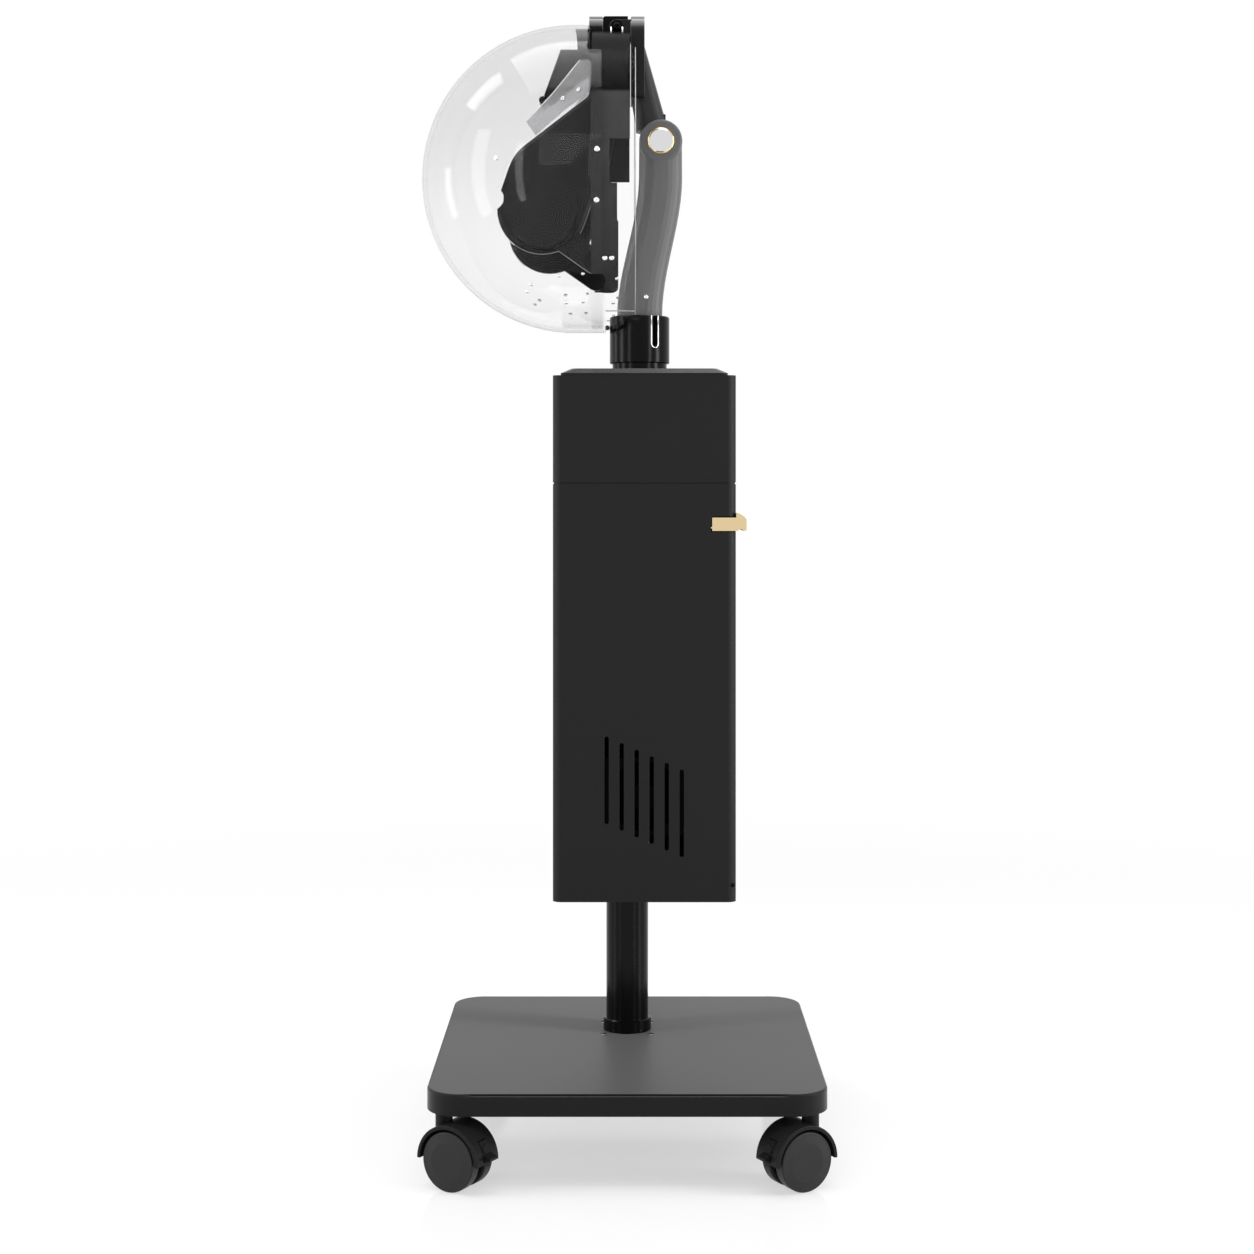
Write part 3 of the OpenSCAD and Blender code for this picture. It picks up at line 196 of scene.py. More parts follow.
# %% [markdown]
# Turned and brushed metals carry fine lines. The second group stretches a noise along one
# axis, so the lines run round a pin or along the gold handle.

# %% Group: brushed lines
brushed, brushed_in, brushed_out = new_group(
    "brushed_lines", {"Lines": (20.0, 20.0, 2500.0), "Rough Low": 0.2, "Rough High": 0.3},
    {"Roughness": 1, "Height": 1})
place = add_node(brushed, "ShaderNodeTexCoord")
scaled = add_node(brushed, "ShaderNodeVectorMath", operation="MULTIPLY")
lines = add_node(brushed, "ShaderNodeTexNoise", {"Scale": 1.0, "Detail": 2.0})
rough = add_node(brushed, "ShaderNodeMapRange")
join(brushed,
     (place.outputs["Object"], scaled.inputs[0]),
     (brushed_in.outputs["Lines"], scaled.inputs[1]),
     (scaled.outputs["Vector"], lines.inputs["Vector"]),
     (lines.outputs["Fac"], rough.inputs["Value"]),
     (brushed_in.outputs["Rough Low"], rough.inputs["To Min"]),
     (brushed_in.outputs["Rough High"], rough.inputs["To Max"]),
     (rough.outputs["Result"], brushed_out.inputs["Roughness"]),
     (lines.outputs["Fac"], brushed_out.inputs["Height"]))
print("group:", brushed.name)


# %% [markdown]
# Some finishes change over one piece. The third group is a mask that steps smoothly from
# nought to one along an axis of the frame, between two distances from the origin in metres.

# %% Group: mask along an axis
def ramp(tree, socket, low, high, start=0.0, end=1.0):
    """A smooth step of a value, from start at low to end at high."""
    values = {"From Min": low, "From Max": high, "To Min": start, "To Max": end}
    node = add_node(tree, "ShaderNodeMapRange", values, interpolation_type="SMOOTHSTEP")
    tree.links.new(socket, node.inputs["Value"])
    return node


axis_mask, mask_in, mask_out = new_group(
    "axis_mask", {"Axis": (0.0, 0.0, 1.0), "Low": 0.0, "High": 1.0}, {"Mask": 1})
place = add_node(axis_mask, "ShaderNodeTexCoord")
reach = add_node(axis_mask, "ShaderNodeVectorMath", operation="DOT_PRODUCT")
step = ramp(axis_mask, reach.outputs["Value"], 0.0, 1.0)
join(axis_mask,
     (place.outputs["Object"], reach.inputs[0]),
     (mask_in.outputs["Axis"], reach.inputs[1]),
     (mask_in.outputs["Low"], step.inputs["From Min"]),
     (mask_in.outputs["High"], step.inputs["From Max"]),
     (step.outputs["Result"], mask_out.inputs["Mask"]))


def mask_along(tree, axis, low, high):
    """Puts the mask into a material and hands back its output."""
    return add_node(tree, "ShaderNodeGroup", {"Axis": axis, "Low": low, "High": high},
                    node_tree=axis_mask).outputs["Mask"]


print("group:", axis_mask.name)


# %% [markdown]
# The black hinge plates look polished where they face upwards, and their rounded edges get a
# painted highlight: a pale line laid into their colour. The fourth group finds both: the first
# from the direction that the surface faces, and the second from how much that direction turns within a
# millimetre.

# %% Group: polish and painted edge highlight
UPWARD = (0.25, 0.85)        # the upward share of a face's direction where polish starts and is full
# the pale rim is a painted highlight, laid into the colour
TURNED = (0.99, 0.90)        # how alike the two directions are where the pale rim starts and is full


def times(tree, first, second):
    """The product of two values."""
    node = add_node(tree, "ShaderNodeMath", operation="MULTIPLY")
    join(tree, (first, node.inputs[0]), (second, node.inputs[1]))
    return node.outputs["Value"]


polished, polished_in, polished_out = new_group(
    "polish_and_painted_rim", {"Mask": 1.0, "Edge Radius": 0.0011}, {"Polish": 1, "Painted Rim": 1})
shape = add_node(polished, "ShaderNodeNewGeometry")
facing = add_node(polished, "ShaderNodeSeparateXYZ")
edge = add_node(polished, "ShaderNodeBevel", samples=4)
turn = add_node(polished, "ShaderNodeVectorMath", operation="DOT_PRODUCT")
upward = ramp(polished, facing.outputs["Z"], *UPWARD)
painted_rim_ramp = ramp(polished, turn.outputs["Value"], *TURNED)
mask = polished_in.outputs["Mask"]
join(polished,
     (shape.outputs["Normal"], facing.inputs["Vector"]),
     (polished_in.outputs["Edge Radius"], edge.inputs["Radius"]),
     (edge.outputs["Normal"], turn.inputs[0]),
     (shape.outputs["Normal"], turn.inputs[1]),
     (times(polished, upward.outputs["Result"], mask), polished_out.inputs["Polish"]),
     (times(polished, painted_rim_ramp.outputs["Result"], mask), polished_out.inputs["Painted Rim"]))
print("group:", polished.name)

# %% [markdown]
# A blown or bent sheet of clear plastic is never quite even. The fifth group gives its wall
# slow waves, a decimetre or so long, which bend the reflections a little.

# %% Group: waves of a clear wall
waves, _, waves_out = new_group("wall_waves", {}, {"Height": 1})
place = add_node(waves, "ShaderNodeTexCoord")
ripple = add_node(waves, "ShaderNodeTexNoise", {"Scale": 9.0, "Detail": 1.0})
join(waves, (place.outputs["Object"], ripple.inputs["Vector"]),
     (ripple.outputs["Fac"], waves_out.inputs["Height"]))
print("group:", waves.name)


# %% [markdown]
# The black and grey finishes differ only in tone, grain and gloss, so one function makes each
# of them. The cabinet is matte powder coat, the hood's fittings are glossy, and the arm has a
# soft satin sheen. What lies behind the vent slots is black plastic painted far darker than its
# own tone, as painted shade, so the slots stay dark.

# %% Painted and moulded finishes
def grey(level):
    """A grey with a slight blue, as a colour."""
    return (level, level, level * 1.02, 1)


def grained(name, low, high, size, rough_low, rough_high, bump, specular=0.2, sheen=0.0):
    """A moulded or painted finish between two greys, with its grain's size per metre."""
    material, _ = new_material(name, Specular_IOR_Level=specular, Sheen_Weight=sheen,
                               Sheen_Roughness=0.4)
    values = {"Tone A": grey(low), "Tone B": grey(high), "Grain Size": size,
              "Rough Low": rough_low, "Rough High": rough_high}
    place_group(material, grain, values, {"Color": "Base Color", "Roughness": "Roughness"}, bump)
    return material


finish = {
    "cabinet_powder": grained("cabinet_powder", 0.008, 0.010, 1400, 0.38, 0.50, 0.10, specular=0.14),
    # painted light: the lid is the cabinet's powder coat, a little lighter and with more sheen for its lit
    # slope
    "lid_powder_painted_light": grained("lid_powder_painted_light", 0.0095, 0.0115, 1400, 0.42, 0.56, 0.10, specular=0.15, sheen=0.42),
    "base_powder": grained("base_powder", 0.008, 0.010, 1400, 0.36, 0.48, 0.10, specular=0.08, sheen=0.27),
    "post_satin": grained("post_satin", 0.002, 0.003, 500, 0.14, 0.20, 0.03, specular=0.12),
    "collar_satin": grained("collar_satin", 0.002, 0.003, 600, 0.16, 0.22, 0.04, specular=0.09),
    "arm_satin": grained("arm_satin", 0.094, 0.110, 700, 0.36, 0.44, 0.05, specular=0.3),
    "link_satin": grained("link_satin", 0.018, 0.023, 700, 0.34, 0.42, 0.05, specular=0.2),
    "plate_black": grained("plate_black", 0.0022, 0.003, 300, 0.18, 0.24, 0.0, specular=0.07),
    "hood_gloss": grained("hood_gloss", 0.0018, 0.0025, 300, 0.14, 0.22, 0.0, specular=0.04),
    "ring_satin": grained("ring_satin", 0.033, 0.039, 60, 0.3, 0.4, 0.0, specular=0.015),
    "pod_gloss": grained("pod_gloss", 0.005, 0.007, 60, 0.27, 0.31, 0.0, specular=0.09),
    "caster_nylon": grained("caster_nylon", 0.006, 0.008, 900, 0.34, 0.46, 0.06, specular=0.12),
    "wheel_disc": grained("wheel_disc", 0.014, 0.018, 900, 0.36, 0.46, 0.05, specular=0.2),
    "key_satin": grained("key_satin", 0.03, 0.036, 900, 0.35, 0.42, 0.05),
    # painted shade: black plastic made darker than its own tone, for the shade inside the cabinet
    "fan_black_painted_shade": grained("fan_black_painted_shade", 0.0006, 0.0009, 700, 0.5, 0.6, 0.0, specular=0.02),
    "works_plastic": grained("works_plastic", 0.02, 0.026, 700, 0.4, 0.55, 0.08),
    "primer_steel": grained("primer_steel", 0.09, 0.11, 600, 0.45, 0.6, 0.08),
    "hose_rubber": grained("hose_rubber", 0.05, 0.06, 700, 0.5, 0.65, 0.08),
    # painted highlight: pale tone of the wires along clear edges and the pods' outline
    "painted_clear_highlight": grained("painted_clear_highlight", 0.75, 0.82, 300, 0.25, 0.35, 0.02),
    # painted light and shade: grey tone of the wires along the band's rim and notch
    "painted_clear_rim": grained("painted_clear_rim", 0.28, 0.33, 300, 0.25, 0.35, 0.02),
}
print("painted finishes:", ", ".join(finish))


# %% [markdown]
# Metals: a polished chrome cap, zinc pins, a stainless boiler, and the champagne gold of the
# handle. Their colour is plain, and the brushed group gives the highlight its direction. A
# picture of scratches could do that too, but it would need a UV map, while the group works
# straight from the place in space. The three numbers of its lines say about how many of them a
# metre holds along each axis.

# %% Metals
POLISHED = (200.0, 200.0, 200.0)


def metal(name, colour, rough_low, rough_high, lines, bump=0.05):
    """A brushed or polished metal."""
    material, _ = new_material(name, Base_Color=(*colour, 1), Metallic=1.0)
    values = {"Lines": lines, "Rough Low": rough_low, "Rough High": rough_high}
    place_group(material, brushed, values, {"Roughness": "Roughness"}, bump, distance=0.00005)
    return material


finish["chrome"] = metal("chrome", (0.70, 0.70, 0.71), 0.04, 0.08, POLISHED, 0.01)
finish["gold"] = metal("gold", (0.70, 0.55, 0.32), 0.26, 0.36, (15.0, 15.0, 1800.0))
finish["gold_rim"] = metal("gold_rim", (0.80, 0.56, 0.26), 0.12, 0.18, POLISHED, 0.01)
finish["zinc"] = metal("zinc", (0.55, 0.56, 0.57), 0.25, 0.35, (40.0, 2000.0, 40.0))
finish["stainless"] = metal("stainless", (0.62, 0.61, 0.6), 0.2, 0.32, (40.0, 40.0, 2200.0))
print("metals: chrome, gold, gold_rim, zinc, stainless")


# %% [markdown]
# The hinge plates are gloss black with polished upper edges and a painted highlight along
# their rounded edges, while the rest of the link is satin grey. Plates and link are one CAD node,
# so a second material would need its faces picked one by one. Two masks do it instead: the
# black ends a little past the hinge pin, and level with the foot of the hood's bracket. Both
# places are read from the frame.

# %% Hinge plates
PLATE_BLACK = 0.0025         # tone of the plates
# painted highlight: the pale tone laid along the plates' rounded edges
PAINTED_EDGE_HIGHLIGHT = 0.16             # tone of their edges
PLATE_REACH = 33.4 * MM      # from the hinge pin to the plate's right edge
EDGE_BLEND = 0.2 * MM        # width over which the black ends at that edge
FOOT_BLEND = 1 * MM          # height over which it starts at the bracket's foot


def over(tree, shader, mask, level):
    """Lays an even grey over the shader's base colour where the mask is one."""
    below = shader.inputs["Base Color"].links[0].from_socket
    node = add_node(tree, "ShaderNodeMix", {"B": (level, level, level, 1)}, data_type="RGBA")
    join(tree, (mask, node.inputs["Factor"]), (below, node.inputs["A"]),
         (node.outputs["Result"], shader.inputs["Base Color"]))


def polish_and_paint_rim(material, mask=None):
    """Lays black, polished upper faces and a pale painted highlight on the edges over a finish, where the
    mask is one.
    """
    tree = material.node_tree
    shader = tree.nodes["Principled BSDF"]
    edges = add_node(tree, "ShaderNodeGroup", node_tree=polished)
    if mask:
        tree.links.new(mask, edges.inputs["Mask"])
        over(tree, shader, mask, PLATE_BLACK)
    # the pale tone on the edges is a painted highlight
    over(tree, shader, edges.outputs["Painted Rim"], PAINTED_EDGE_HIGHLIGHT)
    tree.links.new(edges.outputs["Polish"], shader.inputs["Coat Weight"])


pin_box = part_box("hinge_pin")
plate_right = (pin_box[0].x + pin_box[1].x) / 2 + PLATE_REACH
plate_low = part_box("hood_bracket")[0].z
polish_and_paint_rim(finish["plate_black"])
tree = finish["link_satin"].node_tree
left_of_edge = mask_along(tree, (1, 0, 0), plate_right, plate_right - EDGE_BLEND)
above_foot = mask_along(tree, (0, 0, 1), plate_low - FOOT_BLEND, plate_low)
polish_and_paint_rim(finish["link_satin"], times(tree, left_of_edge, above_foot))
print("hinge plates: black above", round(plate_low, 3), "m")

# %% [markdown]
# The carrying ring is gloss black where it bends over the hood, and satin grey on the straight
# bars below. It could be cut in two, with a material for each half, but a mask by height keeps
# it the one piece that it is. The black starts a little under the top of the side pods.

# %% Carrying ring
RING_BLACK = 0.002           # tone of the bend
BEND_FALL = 20 * MM          # from the pods' top down to where the ring is fully black
BLEND = 6 * MM               # height over which the grey turns black
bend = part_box("side_pods")[1].z - BEND_FALL
tree = finish["ring_satin"].node_tree
above_bend = mask_along(tree, (0, 0, 1), bend - BLEND, bend)
over(tree, tree.nodes["Principled BSDF"], above_bend, RING_BLACK)
print("carrying ring: black above", round(bend, 3), "m")


# %% [markdown]
# The hood is clear acrylic. Light goes through it almost unchanged, and what the eye sees is
# its edge, where the wall is looked at along its length, and the bright patches that the
# studio's lamps leave on it. A low index keeps the walls from veiling the black parts behind
# them, and a weak absorption inside the wall draws the soft grey edge, because a sight line
# that grazes the edge runs through ten times more plastic than one through the middle.

# %% Clear plastics
def clear_plastic(name, tint, index, rough, weight, absorb=0.0):
    """A see-through plastic with slow waves in its wall. Absorb is its density per metre."""
    material, _ = new_material(name, Base_Color=(*tint, 1), Roughness=rough, IOR=index,
                               Transmission_Weight=weight)
    place_group(material, waves, {}, {}, bump=0.02, distance=0.002)
    if absorb:
        tree = material.node_tree
        values = {"Color": (0.1, 0.1, 0.1, 1), "Density": absorb}
        wall = add_node(tree, "ShaderNodeVolumeAbsorption", values)
        tree.links.new(wall.outputs["Volume"], tree.nodes["Material Output"].inputs["Volume"])
    return material


finish["clear"] = clear_plastic("clear_acrylic", (0.99, 0.99, 0.99), 1.16, 0.01, 1.0, absorb=8.0)
finish["clear_thin"] = clear_plastic("clear_band", (0.99, 0.99, 0.99), 1.04, 0.01, 1.0, absorb=3.0)
finish["strap"] = clear_plastic("clear_strap", (0.55, 0.55, 0.56), 1.25, 0.12, 0.72)
print("clear plastics: clear, clear_thin, strap")

# %% [markdown]
# Two things are painted into the dome's colour. It is a little greyer towards the top, where
# the photograph shows a soft tone: painted shade for the greyer room that the top reflects. A
# thin grey line runs along its outline, where the wall turns away from the eye: painted shade
# for the darkening there. A wire could draw that line for one view, but Layer Weight finds the
# outline from every side.

# %% Painted shade of the dome: top tone and outline
FADE_IN = 100 * MM           # the tone's change starts and ends this far inside the dome
OUTLINE = (0.80, 0.97)       # how far the wall turns away where the line starts and is full
PAINTED_OUTLINE_SHADE = 0.55          # tone of the line
dome_low, dome_high = (corner.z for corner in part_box("clear_dome"))
tree = finish["clear"].node_tree
shader = tree.nodes["Principled BSDF"]
# painted shade: the dome's colour turns greyer towards the top
shade_tones = {"A": (0.99, 0.99, 0.99, 1), "B": (0.90, 0.90, 0.90, 1)}
tint = add_node(tree, "ShaderNodeMix", shade_tones, data_type="RGBA")
painted_top_shade = mask_along(tree, (0, 0, 1), dome_low + FADE_IN, dome_high - FADE_IN)
join(tree, (painted_top_shade, tint.inputs["Factor"]), (tint.outputs["Result"], shader.inputs["Base Color"]))
# painted shade: a grey line where the wall turns away from the eye
graze = add_node(tree, "ShaderNodeLayerWeight", {"Blend": 0.5})
painted_outline = ramp(tree, graze.outputs["Facing"], *OUTLINE)
over(tree, shader, painted_outline.outputs["Result"], PAINTED_OUTLINE_SHADE)
print("dome: toned from", round(dome_low, 3), "to", round(dome_high, 3), "m")


# %% [markdown]
# Inside the cabinet are a smoked water tank and a green circuit board with a satin lacquer.
# The tank could be clear plastic like the hood, but little more than its shade shows through
# the vent slots, so a dark colour with some alpha is enough.

# %% Tank and board
def plain(name, size, rough_low, rough_high, **values):
    """One even colour with a fine grain."""
    material, _ = new_material(name, **values)
    place_group(material, grain, {"Grain Size": size, "Rough Low": rough_low, "Rough High": rough_high},
                {"Roughness": "Roughness"}, bump=0.05)
    return material


finish["tank"] = plain("tank_plastic", 500.0, 0.5, 0.6, Base_Color=(0.008, 0.009, 0.010, 1), Alpha=0.6,
                       Specular_IOR_Level=0.05)
finish["board"] = plain("circuit_board", 300.0, 0.25, 0.4, Base_Color=(0.01, 0.09, 0.035, 1))
print("inside the cabinet: tank, board")

# %% [markdown]
# Each CAD node keeps its shape and gets one of these finishes. A line for each node would do
# as well, but a line for each finish shows at once which pieces are alike.

# %% Dress the CAD nodes
wear = {
    "cabinet_powder": "lower_shell upper_shell service_door mid_deck",
    "lid_powder_painted_light": "cabinet_lid",
    "base_powder": "base_tray",
    "post_satin": "post_tube foot_ring",
    "collar_satin": "swivel_collar",
    "arm_satin": "lower_arm",
    "link_satin": "upper_link",
    "hood_gloss": "mist_duct control_panel hinge_pin",
    "plate_black": "hood_bracket",
    "ring_satin": "carrying_ring",
    "pod_gloss": "side_pods",
    "caster_nylon": "caster_body_1 caster_body_2 caster_body_3 caster_body_4 "
                    "caster_brake_1 caster_brake_2 caster_brake_3 caster_brake_4 door_hinge_pin",
    "wheel_disc": "caster_wheels_1 caster_wheels_2 caster_wheels_3 caster_wheels_4",
    "key_satin": "button_1 button_2 button_3 power_rocker",
    "fan_black_painted_shade": "fan_frame fan_impeller water_pump",
    "works_plastic": "mains_inlet tank_cap",
    "primer_steel": "ballast_plate post_flange cabinet_floor",
    "hose_rubber": "steam_hose",
    "chrome": "knuckle_cap",
    "gold": "door_handle",
    "zinc": "base_bolts caster_stems knuckle_pin "
            "caster_axle_1 caster_axle_2 caster_axle_3 caster_axle_4",
    "stainless": "boiler boiler_lid heating_element",
    "clear": "clear_dome",
    "clear_thin": "clear_band",
    "strap": "mist_blade",
    "tank": "water_tank",
    "board": "control_board",
}
for key, names in wear.items():
    for name in names.split():
        node = cad_nodes[name]
        node.data.materials.clear()
        node.data.materials.append(finish[key])
print("dressed:", sum(len(names.split()) for names in wear.values()), "of", len(cad_nodes))


# %% [markdown]
# The studio is a white room. Its floor and walls are white where the camera, a gloss or a
# clear part sees them, but dim as a source of light, so the black parts keep their contrast.
# Light Path tells the two apart.

# %% White where it is seen
def sight_mask(tree):
    """One where the camera, a gloss or a clear part sees the surface, and nought for other light."""
    path = add_node(tree, "ShaderNodeLightPath")
    pair = add_node(tree, "ShaderNodeMath", operation="MAXIMUM")
    mask = add_node(tree, "ShaderNodeMath", operation="MAXIMUM")
    join(tree,
         (path.outputs["Is Camera Ray"], pair.inputs[0]),
         (path.outputs["Is Glossy Ray"], pair.inputs[1]),
         (pair.outputs["Value"], mask.inputs[0]),
         (path.outputs["Is Transmission Ray"], mask.inputs[1]))
    return mask.outputs["Value"]


def mix_shaders(tree, factor, first, second, output):
    """Blends two shaders and joins the result to the output."""
    blend = add_node(tree, "ShaderNodeMixShader")
    join(tree, (factor, blend.inputs["Fac"]), (first, blend.inputs[1]), (second, blend.inputs[2]),
         (blend.outputs["Shader"], output.inputs["Surface"]))


print("studio helpers: sight_mask, mix_shaders")

# %% [markdown]
# The floor takes the soft shadow and a faint reflection near the machine, and turns plain
# white further out, where the photograph shows nothing. A real studio bends a paper roll up
# behind the machine. A flat floor that fades to white looks the same, and is a single face.

# %% Floor
FLOOR_REACH = 30             # half of the floor's side in metres
NEAR, FAR = 0.7, 2.6         # the floor fades between these distances from the post, in metres
NEAR_WHITE = 0.54            # share of plain white in the floor next to the machine
corners = [(x * FLOOR_REACH, y * FLOOR_REACH, 0) for x, y in ((-1, -1), (1, -1), (1, 1), (-1, 1))]
floor_mesh = bpy.data.meshes.new("floor")
floor_mesh.from_pydata(corners, [], [(0, 1, 2, 3)])
floor = bpy.data.objects.new("floor", floor_mesh)
bpy.context.scene.collection.objects.link(floor)
floor_look, floor_shader = new_material("studio_floor", Base_Color=(0.88, 0.88, 0.88, 1),
                                        Roughness=0.14, Specular_IOR_Level=0.9)
tree = floor_look.node_tree
place = add_node(tree, "ShaderNodeTexCoord")
reach = add_node(tree, "ShaderNodeVectorMath", operation="LENGTH")
tree.links.new(place.outputs["Object"], reach.inputs[0])
fade = ramp(tree, reach.outputs["Value"], NEAR, FAR, NEAR_WHITE, 1.0)
glow = add_node(tree, "ShaderNodeEmission", {"Color": (1, 1, 1, 1), "Strength": 1.0})
mix_shaders(tree, times(tree, fade.outputs["Result"], sight_mask(tree)), floor_shader.outputs["BSDF"],
            glow.outputs["Emission"], tree.nodes["Material Output"])
floor_mesh.materials.append(floor_look)
print("floor:", 2 * FLOOR_REACH, "m wide")

# %% [markdown]
# The room itself is the world, with the same two sides: white to look at, and a weak even
# light. Walls could be modelled too, but the world surrounds the machine without a mesh.

# %% World
ROOM_LIGHT = 0.45            # strength of the room's own light
world = bpy.data.worlds.new("studio")
bpy.context.scene.world = world
world.use_nodes = True
tree = world.node_tree
tree.nodes.clear()
room = add_node(tree, "ShaderNodeBackground", {"Color": (1, 1, 1, 1), "Strength": ROOM_LIGHT})
seen = add_node(tree, "ShaderNodeBackground", {"Color": (1, 1, 1, 1), "Strength": 1.0})
mix_shaders(tree, sight_mask(tree), room.outputs["Background"], seen.outputs["Background"],
            add_node(tree, "ShaderNodeOutputWorld"))
print("world: light", ROOM_LIGHT)

# %% [markdown]
# Product photographs of black machines are lit by large soft boxes. A wide one above gives the
# base its glow. A tall narrow one at each side is brighter for its size, and draws the pale
# bands along the round post and the cabinet's rounded edges, and the right one is the stronger.
# Two slits further to the front strengthen the bands on the arm and on the cabinet's edges, and
# are left out of the even light. A weak box lifts the front, and is left out of the gloss. Two
# small windows on the left add the white patches that the photograph shows on the clear dome.

# %% Lamps
lamps = {                    # place, aim and size in millimetres, and power in watts
    "top_box": ((0, -100, 3300), (0, 0, 600), (2400, 2000), 60.0),
    "left_strip": ((-2300, -700, 1150), (0, 0, 700), (500, 2200), 24.0),
    "right_strip": ((2300, -700, 1150), (0, 0, 700), (500, 2200), 44.0),
    "left_slit": ((-1900, -2250, 1000), (0, 0, 500), (300, 2200), 14.0),
    "right_slit": ((1900, -2250, 1000), (0, 0, 500), (300, 2200), 24.0),
    "front_box": ((-900, -3600, 2100), (0, 0, 700), (1600, 1600), 30.0),
    "upper_window": ((-1900, 400, 3000), (0, 0, 1100), (600, 900), 12.0),
    "left_window": ((-2300, 600, 1000), (0, 0, 1100), (300, 900), 4.0),
}
for name, (spot, aim, size, power) in lamps.items():
    data = bpy.data.lights.new(name, "AREA")
    data.shape = "RECTANGLE"
    data.size, data.size_y = (side * MM for side in size)
    data.energy = power
    lamp = bpy.data.objects.new(name, data)
    bpy.context.scene.collection.objects.link(lamp)
    lamp.location = mm(*spot)
    lamp.rotation_euler = (mm(*aim) - lamp.location).to_track_quat("-Z", "Y").to_euler()
    lamp.visible_glossy = name != "front_box"
    lamp.visible_diffuse = "slit" not in name
print("lamps:", ", ".join(lamps))


# %% [markdown]
# All small fittings are made the same way: loops of points, joined one to the next by belts of
# four-sided faces. Each fitting then moves with one body of the frame and gets one of the
# finishes above.

# %% Mesh helpers
def circle(sides):
    """The cosine and sine of evenly spaced angles round a circle."""
    return [(math.cos(2 * math.pi * i / sides), math.sin(2 * math.pi * i / sides)) for i in range(sides)]


def belt(bm, loops):
    """Joins each loop of vertices to the next with four-sided faces."""
    for low, high in zip(loops, loops[1:]):
        for i in range(len(low)):
            j = (i + 1) % len(low)
            bm.faces.new((low[i], low[j], high[j], high[i]))


def add_piece(name, bm, material, body):
    """Turns a bmesh into a smooth-shaded piece that moves with a body."""
    mesh = bpy.data.meshes.new(name)
    bmesh.ops.recalc_face_normals(bm, faces=bm.faces)
    bm.to_mesh(mesh)
    bm.free()
    for face in mesh.polygons:
        face.use_smooth = True
    mesh.materials.append(material)
    piece = bpy.data.objects.new(name, mesh)
    bpy.context.scene.collection.objects.link(piece)
    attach(piece, body)


print("mesh helpers: circle, belt, add_piece")


# %% [markdown]
# The small screws that hold the hood's fittings are chrome domes with a cross recess. Each is
# one mesh: a lathed dome with the four arms of the recess pressed in, turned to face outwards.
# A boolean cut could make the recess as well, but one more loop of points is simpler.

# %% Screw
SCREW_SIDES = 16
SCREW_DOME = [(1.0, -0.25), (1.0, 0.12), (0.92, 0.36), (0.7, 0.55), (0.36, 0.64)]   # (radius, height)
RECESS_DEPTH = 0.3           # height of the recess's floor, as a share of the radius
RECESS_WAIST = 0.4           # how far the recess draws in between its arms


def screw(name, place, facing, radius, body, material=None):
    """A domed screw head at a place in millimetres, facing along a direction."""
    bm = bmesh.new()
    loops = [[bm.verts.new((share * radius * c, share * radius * s, height * radius))
              for c, s in circle(SCREW_SIDES)] for share, height in SCREW_DOME]
    belt(bm, loops)
    recess = []
    for i, vert in enumerate(loops[-1]):
        draw = 1.0 if i % 4 == 0 else RECESS_WAIST
        recess.append(bm.verts.new((vert.co.x * draw, vert.co.y * draw, RECESS_DEPTH * radius)))
    belt(bm, [loops[-1], recess])
    bm.faces.new(recess)
    bm.faces.new(list(reversed(loops[0])))
    turn = Vector(facing).to_track_quat("Z", "Y").to_matrix().to_4x4()
    into_place = Matrix.Translation(mm(*place)) @ turn @ Matrix.Scale(MM, 4)
    bmesh.ops.transform(bm, matrix=into_place, verts=bm.verts)
    add_piece(name, bm, material or finish["chrome"], body)


print("screw:", SCREW_SIDES, "sides")

# %% [markdown]
# On the hood the screws go through the clear wall into the black ring behind it. A place on
# the hood is given by its distance along the hood's axis and its height over the centre, and
# the wall itself gives the third number: a sphere towards the pole, a cylinder past the middle.

# %% Hood screws
DOME_R = box_mm("clear_dome")[1].y
DOME = (box_mm("clear_dome")[0].x + DOME_R, 0.0, middle_mm("clear_dome").z)


def on_hood(along, height, side):
    """The place on the hood's outer wall, and the direction straight out of it."""
    bulge = min(along, 0.0)
    depth = side * math.sqrt(DOME_R ** 2 - height ** 2 - bulge ** 2)
    return (DOME[0] + along, depth, DOME[2] + height), (bulge, depth, height)


hood_screws = {              # distance along the axis, height over the centre, and radius
    "ring_upper": (29.4, 8.9, 3.3), "ring_middle": (28.8, -47.7, 3.3),
    "ring_low_left": (37.9, -110.0, 3.2), "ring_low_right": (45.6, -110.0, 3.2),
    "dome_side": (-86.0, 2.0, 2.6), "dome_low_1": (-48.4, -137.5, 2.2),
    "dome_low_2": (-53.7, -144.3, 2.2), "dome_low_3": (-15.2, -128.9, 2.2),
    "dome_low_4": (12.5, -126.7, 2.0), "dome_low_5": (-8.2, -156.8, 2.4),
    "dome_low_6": (11.7, -155.7, 2.4), "band_low_1": (46.9, -156.9, 2.2),
    "band_low_2": (51.7, -131.7, 2.2),
}
for name, (along, height, radius) in hood_screws.items():
    for side, label in SIDES:
        place, facing = on_hood(along, height, side)
        screw(f"screw_{name}_{label}", place, facing, radius, "hood")
print("hood screws:", 2 * len(hood_screws))

# %% [markdown]
# Two more screws hold each clear strap, and one sits low on the arm. They are the same screw
# again, and all look straight sideways, so their places are simply given.

